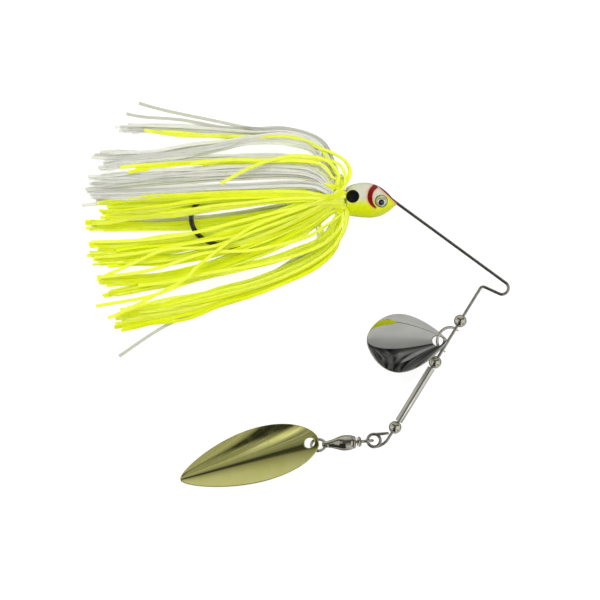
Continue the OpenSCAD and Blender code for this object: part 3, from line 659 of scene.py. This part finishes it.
# ---------------------------------------------------------------- beads, tube, clevis
def bead_mesh(d):
    r, b = BEAD_D / 2, BORE_D / 2
    x = math.sqrt(r * r - (b + 0.14) ** 2)
    a0 = math.acos(x / r)
    pr = [(r * math.cos(a), r * math.sin(a)) for a in np.linspace(a0, math.pi - a0, 34)]
    pr += [(-x + 0.02, b + 0.05), (-x + 0.12, b), (x - 0.12, b), (x - 0.02, b + 0.05)]
    return moved(lathe(pr, 56, closed=True), on_arm(d))


bead1 = make("bead_upper_ball", [bead_mesh(D_BEAD1)], sharp=50)
bead2 = make("bead_middle_ball", [bead_mesh(D_BEAD2)], sharp=50)
bead3 = make("bead_lower_ball", [bead_mesh(D_BEAD3)], sharp=50)

L = D_BEAD3 - D_BEAD2 - BEAD_D - 0.30
prof = rounded([(0, BORE_D / 2), (L, BORE_D / 2), (L, TUBE_D / 2), (0, TUBE_D / 2)], 0.16, 4)
sleeve = make("spacer_sleeve", [moved(lathe(prof, 48, closed=True), on_arm(D_BEAD2 + BEAD_D / 2 + 0.15))], sharp=50)


def clevis_mesh():
    """A stamped strip bent into an arch, with a round drilled tab at each end."""
    parts = []
    a = np.linspace(0.17, math.pi - 0.17, 47)    # the strip stops short of the bores
    sec = rounded([(-0.25, -0.5), (0.52, -0.5), (0.52, 0.5), (-0.25, 0.5)], 0.34, 4)
    rings = []
    for t in a:
        w = 0.86 + 0.24 * abs(math.cos(t)) ** 2
        rings.append(np.array([[(CLEVIS_R + x) * math.cos(t), (CLEVIS_R + x) * math.sin(t), y * w] for x, y in sec]))
    parts.append(loft(rings))
    b = BORE_D / 2
    tab = rounded([(-0.25, b), (0.25, b), (0.25, 1.1), (-0.25, 1.1)], 0.12, 4)
    for s in (-1, 1):
        parts.append(moved(lathe(tab, 44, closed=True), T(s * CLEVIS_R, 0)))
    return [moved(q, ON_ARCH) for q in parts]


clevis = make("clevis_arch", clevis_mesh(), sharp=45)


# ---------------------------------------------------------------- blades
def blade_mesh(length, width, p, q, depth, e, m, nu=220, ns=54):
    def half(t):
        return width / 2 * math.pow(max(math.sin(math.pi * math.pow(t, p)), 0.0), q)

    def z_at(x, y):
        t = min(max((x + RIM) / length, 0.0), 1.0)
        h = max(half(min(max(t, 0.004), 0.996)), 1e-3)
        v = min(abs(y) / h, 1.0)
        return -depth * math.pow(math.sin(math.pi * t), 0.7) * math.pow(v, e)

    tt = 0.004 + 0.992 * (1 - np.cos(np.linspace(0, math.pi, nu + 1))) / 2
    upper = [(t * length - RIM, half(t)) for t in tt]
    lower = [(x, -y) for x, y in reversed(upper)]
    outline = np.array(upper + lower)
    keep = [0]
    for i in range(1, len(outline)):
        if np.linalg.norm(outline[i] - outline[keep[-1]]) > 0.02:
            keep.append(i)
    outline = outline[keep]
    # Even spacing along the outline.
    loop = np.vstack([outline, outline[:1]])
    s = np.concatenate([[0], np.cumsum(np.linalg.norm(np.diff(loop, axis=0), axis=1))])
    n = 420
    g = np.linspace(0, s[-1], n, endpoint=False)
    o = np.stack([np.interp(g, s, loop[:, k]) for k in range(2)], axis=1)
    d = o / np.linalg.norm(o, axis=1)[:, None]
    hr_, rnd_ = HOLE_D / 2, 0.22
    inner, outer = d * (hr_ + rnd_), o - d * rnd_
    ss = np.linspace(0, 1, ns + 1)
    ss = ss - 0.10 * np.sin(2 * math.pi * ss)
    hs = SHEET / 2
    rings = []

    def ring(xy, off, edge=None):
        return np.array([[x, y, z_at(*(edge[i] if edge is not None else (x, y))) + off] for i, (x, y) in enumerate(xy)])

    for k in ss:
        rings.append(ring(inner + (outer - inner) * k, hs))
    arc = np.linspace(0, math.pi, 9)[1:-1]
    for a in arc:
        rings.append(ring(outer + d * rnd_ * math.sin(a), hs * math.cos(a), outer))
    for k in ss[::-1]:
        rings.append(ring(inner + (outer - inner) * k, -hs))
    for a in arc:
        rings.append(ring(inner - d * rnd_ * math.sin(a), -hs * math.cos(a), inner))
    return moved(loft(rings, closed=True), m)


wide = make("wide_blade_sheet", [blade_mesh(25.5, 20.8, 1.36, 0.57, 2.3, 1.9, ON_WIDE)])
long_ = make("long_blade_sheet", [blade_mesh(46.4, 18.4, 0.756, 0.64, 2.2, 1.35, ON_LONG)])

# ---------------------------------------------------------------- swivel and ring
shaft = make("swivel_shaft_eye", [
    moved(torus(1.85, 0.43), ON_SWIVEL @ T(2.3, 0) @ R(90, "X")),
    moved(lathe([(3.95, 0.5), (4.0, 1.1), (4.36, 1.54), (4.44, 1.6), (4.9, 1.6), (4.95, 1.52), (4.96, 0.55), (5.0, 0.5), (7.55, 0.5), (7.62, 0.55), (8.08, 1.2), (8.16, 1.25), (8.55, 1.25), (8.6, 1.18)], 40), ON_SWIVEL)], sharp=40)
washer = make("swivel_washer_disc", [moved(lathe(rounded([(5.1, 0.56), (5.4, 0.56), (5.4, 1.4), (5.1, 1.4)], 0.07, 3), 40, closed=True), ON_SWIVEL)], sharp=50)
cap = make("swivel_cap_turned", [moved(lathe(
    rounded([(5.7, 0.57), (6.7, 0.57), (6.7, 2.0), (6.1, 2.0), (5.7, 1.5)], 0.12, 3), 56, closed=True), ON_SWIVEL)], sharp=50)
barrel_prof = [(9.3, 0.02), (9.3, 1.75), (6.78, 1.75), (6.72, 1.8), (6.72, 2.04), (6.78, 2.12), (7.05, 2.24), (7.2, 2.27)]
for x, r in catmull([(7.2, 2.27, 0), (8.2, 2.38, 0), (9.3, 2.42, 0), (10.5, 2.25, 0), (11.7, 1.85, 0), (12.9, 1.45, 0), (14.2, 1.15, 0), (15.6, 1.14, 0), (16.1, 0.9, 0),
                     (16.35, 0.5, 0), (16.4, 0.03, 0)], 5)[1:, :2]:
    barrel_prof.append((x, max(r, 0.02)))
barrel = make("swivel_barrel_turned", [moved(lathe(barrel_prof, 64), ON_SWIVEL)], smooth=False)
tip = ON_SWIVEL @ T(HOLE_AT, 0) @ R(RING_TILT, "X")


def box_mesh(cx, cy, cz, sx, sy, sz):
    v = [(cx + i * sx / 2, cy + j * sy / 2, cz + k * sz / 2) for i in (-1, 1) for j in (-1, 1) for k in (-1, 1)]
    return np.array(v), [(0, 1, 3, 2), (4, 6, 7, 5), (0, 4, 5, 1), (2, 3, 7, 6), (0, 2, 6, 4), (1, 5, 7, 3)]


drill = make("cutter", [moved(lathe([(-3, 0.78), (-1.0, 0.66), (0, 0.62), (1.0, 0.66), (3, 0.78)], 40), tip @ R(90, "Z"))], smooth=False)
flats = [make("cutter", [moved(box_mesh(0.6, s * 1.55, 0, 3.4, 1.7, 4), tip)], smooth=False) for s in (-1, 1)]
cut(barrel, [drill] + flats)


def split_ring():
    """Two turns of flattened wire, pressed together, with a step where they cross."""
    turns, n_ = 2.0, 150
    b = np.linspace(0, 2 * math.pi, 16, endpoint=False)
    rings = []
    for i in range(n_ + 1):
        s = i / n_
        a = 2 * math.pi * turns * s + 2.4
        lift = -0.2 + 0.4 * min(max((s - 0.46) / 0.08, 0), 1)
        ca, sb = np.sign(np.cos(b)) * np.abs(np.cos(b)) ** 0.6, np.sign(np.sin(b)) * np.abs(np.sin(b)) ** 0.6
        rr = RING_R + 0.37 * ca
        rings.append(np.stack([rr * math.cos(a), rr * math.sin(a), lift + 0.19 * sb], axis=1))
    return loft(rings)


ring = make("blade_split_ring", [moved(split_ring(), ON_RING)], sharp=50)


# ---------------------------------------------------------------- materials
def wire_mat():
    return metal("stainless_wire", (0.50, 0.485, 0.45), (0.34, 0.33, 0.30), 0.14, 0.26, grain=5.0, bump=0.001)


def hook_mat():
    return metal("black_nickel_hook", (0.11, 0.105, 0.095), (0.045, 0.043, 0.04), 0.16, 0.30, grain=4.0, bump=0.004)


def head_mat():
    m = Mat("head_paint", Coat_Weight=0.16, Coat_Roughness=0.08, Specular_IOR_Level=0.30)
    x, y, z = m.xyz()
    y = m.math("SUBTRACT", y, BY)
    wob = m.noise(1.3, 3.0, 0.55)
    wob2 = m.noise(5.0, 2.0, 0.5)
    pearl = m.mix(m.step(wob, 0.3, 0.7), (0.67, 0.66, 0.52), (0.58, 0.60, 0.46))
    lime = m.mix(m.step(m.noise(0.9, 2.0), 0.3, 0.7), (0.74, 0.83, 0.008), (0.68, 0.77, 0.004))
    # Sprayed boundary between the two colours, a little uneven.
    edge = m.math("SUBTRACT", m.math("MULTIPLY_ADD", m.math("SUBTRACT", wob, 0.5), 1.1, y), m.step(x, 26.9, 29.0, 0.0, 2.3))
    col = m.mix(m.step(edge, 30.2, 27.0), pearl, lime)
    # Gill mark: an arc round the eye.
    dx, dy = m.math("SUBTRACT", x, 26.85), m.math("SUBTRACT", y, 29.8)
    rr = m.math("SQRT", m.math("ADD", m.math("MULTIPLY", dx, dx), m.math("MULTIPLY", dy, dy)))
    ang = m.math("MULTIPLY", m.math("ARCTAN2", m.math("MULTIPLY", dy, -1.0), m.math("MULTIPLY", dx, -1.0)), 180 / math.pi)
    arc = m.math("MULTIPLY", m.step(ang, -72.0, -60.0), m.step(ang, 66.0, 54.0))
    half = m.step(ang, 5.0, 58.0, 0.76, 0.30)
    off = m.math("ABSOLUTE", m.math("ADD", m.math("SUBTRACT", rr, 4.0), m.math("MULTIPLY", m.math("SUBTRACT", wob2, 0.5), 0.3)))
    over = m.math("SUBTRACT", off, half)
    col = m.mix(m.math("MULTIPLY", m.math("MULTIPLY", m.step(over, 0.85, 0.0), arc), 0.55), col, (0.80, 0.22, 0.10))
    # Thin line down the front edge, fading inwards to pink.
    s = m.math("ADD", m.math("MULTIPLY", m.math("SUBTRACT", x, 26.0), 0.687), m.math("MULTIPLY", m.math("SUBTRACT", y, 33.4), 0.726))
    front = m.step(x, 25.0, 26.4)
    col = m.mix(m.math("MULTIPLY", m.math("MULTIPLY", m.step(s, -1.7, -0.5), front), 0.55), col, (0.78, 0.24, 0.16))
    col = m.mix(m.math("MULTIPLY", m.step(s, -0.62, -0.34), front), col, (0.15, 0.006, 0.010))
    red = m.mix(m.step(wob2, 0.3, 0.7), (0.205, 0.0035, 0.003), (0.15, 0.0025, 0.002))
    col = m.mix(m.math("MULTIPLY", m.step(over, 0.12, -0.10), arc), col, red)
    # Round spot at the back of the head.
    bx, by = m.math("SUBTRACT", x, 17.49), m.math("SUBTRACT", y, 30.0)
    br = m.math("SQRT", m.math("ADD", m.math("MULTIPLY", bx, bx), m.math("MULTIPLY", by, by)))
    br = m.math("ADD", br, m.math("MULTIPLY", m.math("SUBTRACT", wob2, 0.5), 0.22))
    col = m.mix(m.step(br, 2.14, 1.98), col, (0.002, 0.002, 0.003))
    # A few specks where the paint is scuffed.
    m.link("Base_Color", col)
    m.link("Roughness", m.math("MULTIPLY_ADD", m.step(m.noise(2.2, 4.0, 0.6), 0.4, 0.8), 0.18, 0.20))
    m.bump(m.noise(1.6, 4.0, 0.55), 0.03, 0.6)
    return m.m


def eye_mat():
    m = Mat("eye_paint", Coat_Weight=1.0, Coat_Roughness=0.02)
    x, y, z = m.xyz()
    dx, dy = m.math("SUBTRACT", x, EYE_P[0] + SX), m.math("SUBTRACT", y, EYE_P[1] + SY)
    ro = m.math("SQRT", m.math("ADD", m.math("MULTIPLY", dx, dx), m.math("MULTIPLY", dy, dy)))
    dy = m.math("ADD", dy, 0.42)
    r = m.math("SQRT", m.math("ADD", m.math("MULTIPLY", dx, dx), m.math("MULTIPLY", dy, dy)))
    spark = m.noise(9.0, 2.0, 0.7)
    foil = m.mix(m.step(spark, 0.3, 0.7), (0.52, 0.60, 0.24), (0.70, 0.76, 0.46))
    silver = m.mix(m.step(spark, 0.35, 0.65), (0.90, 0.91, 0.88), (0.66, 0.68, 0.66))
    col = m.mix(m.step(ro, 1.62, 1.86), foil, (0.10, 0.12, 0.07))
    col = m.mix(m.step(r, 1.44, 1.34), col, (0.12, 0.13, 0.12))
    col = m.mix(m.step(r, 1.34, 1.24), col, silver)
    # Black pupil with a grey centre; the grey centre is a painted highlight.
    pupil_with_painted_glint = m.mix(m.step(r, 0.18, 0.42), (0.09, 0.095, 0.09), (0.003, 0.003, 0.004))
    col = m.mix(m.step(r, 0.98, 0.88), col, pupil_with_painted_glint)
    m.link("Base_Color", col)
    m.link("Metallic", m.math("MULTIPLY", m.step(r, 0.85, 0.95), m.step(ro, 1.8, 1.6, 0.0, 0.6)))
    m.link("Roughness", m.math("MULTIPLY_ADD", spark, 0.2, 0.18))
    return m.m


def foil_mat():
    m = Mat("eye_foil_print", Metallic=0.8, Coat_Weight=0.3)
    sp = m.noise(8.0, 3.0, 0.7)
    m.link("Base_Color", m.mix(m.step(sp, 0.3, 0.7), (0.50, 0.56, 0.28), (0.70, 0.74, 0.50)))
    m.link("Roughness", m.math("MULTIPLY_ADD", sp, 0.3, 0.2))
    m.bump(sp, 0.01, 0.4)
    return m.m


def strand_mat(name, light, mid, dark, sss, radius, painted_glow):
    m = Mat(name, Subsurface_Weight=sss, Subsurface_Scale=0.0012, Specular_IOR_Level=0.45, Coat_Weight=0.12, Coat_Roughness=0.18)
    m.set("Subsurface_Radius", radius)
    # The chartreuse pigment is fluorescent; here that is painted as a constant glow in its own colour, which also
    # lightens the shaded strands.
    m.set("Emission_Color", mid)
    m.set("Emission_Strength", painted_glow)
    at = m.nt.nodes.new("ShaderNodeAttribute")
    at.attribute_name = "tone"
    tone = at.outputs["Fac"]
    cloud = m.noise(0.35, 3.0, 0.55)
    thin = m.step(tone, 0.06, 0.02)
    col = m.mix(m.step(tone, 0.25, 0.95), mid, light)
    col = m.mix(m.math("MULTIPLY", m.step(tone, 0.30, 0.0), 0.8), col, dark)
    col = m.mix(m.math("MULTIPLY", m.step(cloud, 0.42, 0.75), 0.45), col, dark)
    col = m.mix(thin, col, tuple(0.80 * c for c in dark))
    m.link("Base_Color", col)
    fine = m.noise(2.6, 4.0, 0.6)
    m.link("Roughness", m.math("MULTIPLY_ADD", fine, 0.26, 0.24))
    m.bump(m.noise(4.5, 3.0, 0.6), 0.02, 0.45)
    return m.m


def band_mat():
    m = Mat("band_rubber", Specular_IOR_Level=0.4)
    n1 = m.noise(2.5, 4.0, 0.6)
    m.link("Base_Color", m.mix(m.step(n1, 0.35, 0.75), (0.018, 0.018, 0.018), (0.045, 0.045, 0.043)))
    m.link("Roughness", m.math("MULTIPLY_ADD", n1, 0.3, 0.42))
    m.bump(m.noise(7.0, 4.0, 0.65), 0.03, 0.8)
    return m.m


M_WIRE, M_HOOK, M_HEAD, M_EYE, M_FOIL, M_BAND = wire_mat(), hook_mat(), head_mat(), eye_mat(), foil_mat(), band_mat()
M_WHITE = strand_mat("silicone_white", (0.86, 0.87, 0.78), (0.80, 0.81, 0.70), (0.70, 0.715, 0.60), 0.40, (1.0, 1.0, 0.85), 0.0)
# The chartreuse strands carry a small painted glow (the last number).
M_LIME = strand_mat("silicone_chartreuse", (0.84, 0.92, 0.10), (0.79, 0.88, 0.013), (0.72, 0.81, 0.002), 0.40, (1.0, 1.0, 0.2), 0.09)
M_BEAD = metal("bead_nickel", (0.68, 0.665, 0.55), (0.56, 0.545, 0.44), 0.04, 0.10, grain=3.0, bump=0.0008)
M_CLEVIS = metal("clevis_nickel", (0.60, 0.59, 0.54), (0.48, 0.47, 0.43), 0.06, 0.14, grain=4.0, bump=0.0012)
M_NICKEL = metal("blade_nickel", (0.62, 0.62, 0.59), (0.56, 0.56, 0.54), 0.025, 0.07, grain=1.0, lines=(20, (0.5, 9.0, 1.0)), bump=0.0003)
M_TUBE = metal("tube_nickel", (0.74, 0.735, 0.67), (0.64, 0.635, 0.58), 0.10, 0.16, grain=1.0, lines=(-UP_A, (0.3, 3.0, 3.0)), bump=0.0002)
M_SWIVEL = metal("swivel_nickel", (0.62, 0.60, 0.51), (0.46, 0.44, 0.37), 0.05, 0.13, grain=3.0, bump=0.001)
M_RING = metal("ring_nickel", (0.55, 0.54, 0.48), (0.40, 0.39, 0.34), 0.14, 0.26, grain=4.0, bump=0.002)
M_GOLD = metal("blade_gold", (0.74, 0.73, 0.27), (0.69, 0.675, 0.22), 0.03, 0.08, grain=1.0, lines=(-196, (0.5, 9.0, 1.0)), bump=0.0004)

PIECES = [
    (wire, M_WIRE, "frame", "wire", ["wire_form"]),
    (hook, M_HOOK, "frame", "hook", ["hook"]),
    (head, M_HEAD, "frame", "head_paint", ["head"]),
    (head_keeper, M_HEAD, "frame", "head_paint", ["head"]),
    (eye_near, M_EYE, "frame", "eye_lens", ["eye_lens_near"]),
    (eye_far, M_EYE, "frame", "eye_lens", ["eye_lens_far"]),
    (band, M_BAND, "frame", "band", ["skirt_band"]),
    (skirt_w, M_WHITE, "frame", "skirt_white", ["skirt_white"]),
    (skirt_y, M_LIME, "frame", "skirt_chartreuse", ["skirt_chartreuse"]),
    (bead1, M_BEAD, "upper_bead", "bead", ["bead_upper"]),
    (bead2, M_BEAD, "middle_bead", "bead", ["bead_middle"]),
    (bead3, M_BEAD, "lower_bead", "bead", ["bead_lower"]),
    (sleeve, M_TUBE, "tube", "tube", ["spacer_tube"]),
    (clevis, M_CLEVIS, "clevis", "clevis", ["clevis"]),
    (wide, M_NICKEL, "wide_blade", "nickel", ["wide_blade"]),
    (long_, M_GOLD, "long_blade", "gold", ["long_blade"]),
    (shaft, M_SWIVEL, "swivel_shaft", "swivel", ["swivel_shaft"]),
    (washer, M_SWIVEL, "swivel_barrel", "swivel", ["swivel_washer"]),
    (cap, M_SWIVEL, "swivel_barrel", "swivel", ["swivel_cap"]),
    (barrel, M_SWIVEL, "swivel_barrel", "swivel", ["swivel_body"]),
    (ring, M_RING, "ring", "ring", ["blade_ring"]),
]
for ob, mat, body_name, slot_name, nodes in PIECES:
    ob.data.materials.clear()
    ob.data.materials.append(mat)
    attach(ob, body_name)
    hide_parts(*nodes)
    if ob not in (skirt_w, skirt_y, head_keeper):
        lo = np.array([v.co for v in ob.data.vertices]).min(axis=0)
        hi = np.array([v.co for v in ob.data.vertices]).max(axis=0)
        blo, bhi = (np.array(c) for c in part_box(nodes[0]))
        print("piece %-22s off its CAD box by %.2f mm" % (ob.name, 1000 * max(np.abs(lo - blo).max(), np.abs(hi - bhi).max())))

for name, mat in (("eye_foil_near", M_FOIL), ("eye_foil_far", M_FOIL), ("swivel_balls", M_BEAD)):
    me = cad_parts[name].data
    me.materials.clear()
    me.materials.append(mat)

# ---------------------------------------------------------------- floor, light, camera
fm = bpy.data.meshes.new("floor")
fm.from_pydata([(-6, -6, 0), (6, -6, 0), (6, 6, 0), (-6, 6, 0)], [], [(0, 1, 2, 3)])
floor = bpy.data.objects.new("floor", fm)
bpy.context.scene.collection.objects.link(floor)
f = Mat("floor_white", Roughness=0.9, Base_Color=(0.26, 0.26, 0.26), Emission_Color=(1.0, 1.0, 1.0), Emission_Strength=0.86, Specular_IOR_Level=0.0)
fm.materials.append(f.m)
floor.visible_glossy = False

world = bpy.data.worlds.new("studio")
bpy.context.scene.world = world
world.use_nodes = True
wn = world.node_tree


def wnode(kind, op=None, *args):
    nd = wn.nodes.new(kind)
    if op:
        nd.operation = op
    for i, a in enumerate(args):
        if isinstance(a, bpy.types.NodeSocket):
            wn.links.new(a, nd.inputs[i])
        else:
            nd.inputs[i].default_value = a
    return nd.outputs[0]


def wstep(v, lo, hi, a, b):
    nd = wn.nodes.new("ShaderNodeMapRange")
    nd.interpolation_type = "SMOOTHSTEP"
    wn.links.new(v, nd.inputs[0])
    for i, q in zip((1, 2, 3, 4), (lo, hi, a, b)):
        nd.inputs[i].default_value = q
    return nd.outputs[0]


tc = wn.nodes.new("ShaderNodeTexCoord")
sep = wn.nodes.new("ShaderNodeSeparateXYZ")
wn.links.new(tc.outputs["Generated"], sep.inputs[0])
wx, wy, wzd = sep.outputs


def wramp(v, stops):
    """Brightness along v from -1 to 1, from (v, brightness) stops."""
    pos = wnode("ShaderNodeMath", "MULTIPLY_ADD", v, 0.5, 0.5)
    nd = wn.nodes.new("ShaderNodeValToRGB")
    wn.links.new(pos, nd.inputs[0])
    e = nd.color_ramp.elements
    while len(e) < len(stops):
        e.new(0.5)
    for k, (q, b) in enumerate(stops):
        e[k].position = (q + 1) / 2
        e[k].color = (b, b, b, 1)
    return nd.outputs[0]


def wmath(op, *args):
    return wnode("ShaderNodeMath", op, *args)


def wmix(f, a, b):
    """a where f is 0, b where f is 1."""
    return wmath("ADD", wmath("MULTIPLY", a, wmath("SUBTRACT", 1.0, f)), wmath("MULTIPLY", b, f))


def wnoise(sx, sy, lo, hi, a, b):
    cv = wn.nodes.new("ShaderNodeCombineXYZ")
    wn.links.new(wmath("MULTIPLY", wx, sx), cv.inputs[0])
    wn.links.new(wmath("MULTIPLY", wy, sy), cv.inputs[1])
    nz = wn.nodes.new("ShaderNodeTexNoise")
    nz.inputs["Scale"].default_value = 1.0
    nz.inputs["Detail"].default_value = 2.0
    wn.links.new(cv.outputs[0], nz.inputs["Vector"])
    return wstep(nz.outputs[0], lo, hi, a, b)


def wbox(x0, x1, y0, y1, s):
    """1 inside the rectangle of directions, with edges s wide."""
    return wmath("MULTIPLY", wmath("MULTIPLY", wstep(wx, x0 - s, x0 + s, 0.0, 1.0), wstep(wx, x1 + s, x1 - s, 0.0, 1.0)),
                 wmath("MULTIPLY", wstep(wy, y0 - s, y0 + s, 0.0, 1.0), wstep(wy, y1 + s, y1 - s, 0.0, 1.0)))


# The studio round the lure: a bright wall beyond it with a sharp lower edge, a dark ceiling with shelves and
# stands in it, a narrow lamp, and a pale panel on each side.
right = wramp(wy, [(-1.0, 0.35), (-0.85, 0.35), (-0.62, 0.30), (-0.35, 0.30), (-0.16, 0.28), (-0.05, 0.11), (0.10, 0.105), (0.20, 0.075), (0.28, 0.065), (0.34, 0.05),
                   (0.42, 0.09), (0.54, 0.12), (0.60, 0.035), (0.64, 0.02), (0.65, 0.35), (0.73, 0.38), (0.83, 0.48), (0.91, 0.64), (1.0, 0.70)])
left = wramp(wy, [(-1.0, 0.30), (-0.30, 0.30), (0.05, 0.50), (0.12, 0.44), (0.17, 0.38), (0.22, 0.28), (0.27, 0.40), (0.32, 0.44), (0.37, 0.36), (0.44, 0.28), (0.50, 0.17),
                  (0.60, 0.09), (0.74, 0.04), (0.785, 0.05), (0.80, 0.26), (0.84, 0.44), (0.87, 0.60), (0.93, 0.74), (1.0, 0.78)])
right = wmath("MULTIPLY", right, wmix(wstep(wy, 0.63, 0.65, 0.0, 1.0), wnoise(30.0, 5.0, 0.36, 0.64, 0.10, 2.1), 1.0))
left = wmath("MULTIPLY", left, wmix(wstep(wy, 0.76, 0.80, 0.0, 1.0), wnoise(9.0, 60.0, 0.34, 0.66, 0.62, 1.35), 1.0))
left = wmath("MULTIPLY", left, wmix(wbox(-0.384, -0.32, 0.165, 0.285, 0.008), 1.0, 0.10))
left = wmath("ADD", left, wmath("MULTIPLY", wbox(-0.412, -0.394, 0.27, 0.33, 0.012), 0.50))
upper = wmix(wstep(wx, -0.24, -0.32, 0.0, 1.0), right, left)
upper = wmath("ADD", upper, wmath("MULTIPLY", wbox(-0.005, 0.035, 0.35, 0.52, 0.010), 0.30))
upper = wmix(wbox(-0.62, 0.07, -1.20, -0.09, 0.05), upper, 0.04)
upper = wmix(wbox(0.13, 0.45, -1.00, -0.62, 0.04), upper, 0.75)
upper = wmix(wbox(0.30, 1.2, -0.55, 0.36, 0.05), upper, 0.78)
upper = wmath("ADD", upper, wmath("MULTIPLY", wbox(0.50, 0.60, -0.47, -0.38, 0.02), 2.0))
upper = wmix(wbox(-1.2, -0.57, -0.60, 0.62, 0.03), upper, 0.54)
upper = wmix(wbox(-1.1, -0.68, -0.12, 0.13, 0.03), upper, 1.0)
lower = wmath("MULTIPLY", wstep(wy, -0.3, 0.85, 0.54, 0.66), wstep(wzd, -0.34, -0.62, 1.0, 0.30))
lower = wmix(wbox(0.14, 1.2, -1.2, -0.22, 0.08), lower, 0.60)
down = wstep(wzd, 0.0, -0.08, 0.0, 1.0)
total = wmix(down, upper, lower)
bg = next(nn for nn in wn.nodes if nn.type == "BACKGROUND")
wn.links.new(total, bg.inputs["Strength"])
bg.inputs["Color"].default_value = (1.0, 0.995, 0.98, 1.0)


def area(name, at, size, watts, look=(0, 0, 0), colour=(1, 1, 1)):
    li = bpy.data.lights.new(name, "AREA")
    li.shape, li.size, li.size_y, li.energy, li.color = "RECTANGLE", size[0], size[1], watts, colour
    ob = bpy.data.objects.new(name, li)
    bpy.context.scene.collection.objects.link(ob)
    ob.location = at
    ob.rotation_euler = (Vector(look) - Vector(at)).to_track_quat("-Z", "Y").to_euler()
    return ob


# The large lights shape the skirt and the paint; the metal sees only the studio.
area("key", (-0.30, 0.50, 0.95), (0.8, 0.6), 7.5).visible_glossy = False
area("fill", (0.55, -0.40, 0.80), (0.7, 0.6), 3.0).visible_glossy = False

cam_d = bpy.data.cameras.new("cam")
cam_d.lens, cam_d.sensor_width = 36.0 * 1.4 / 0.189, 36.0
cam_d.clip_start, cam_d.clip_end = 0.05, 20.0
cam = bpy.data.objects.new("cam", cam_d)
bpy.context.scene.collection.objects.link(cam)
cam.location = (0.00092, -0.00208, 1.4 + WZ * MM)
cam.rotation_euler = (0, 0, 0)
bpy.context.scene.camera = cam
bpy.context.scene.view_settings.view_transform = "Standard"
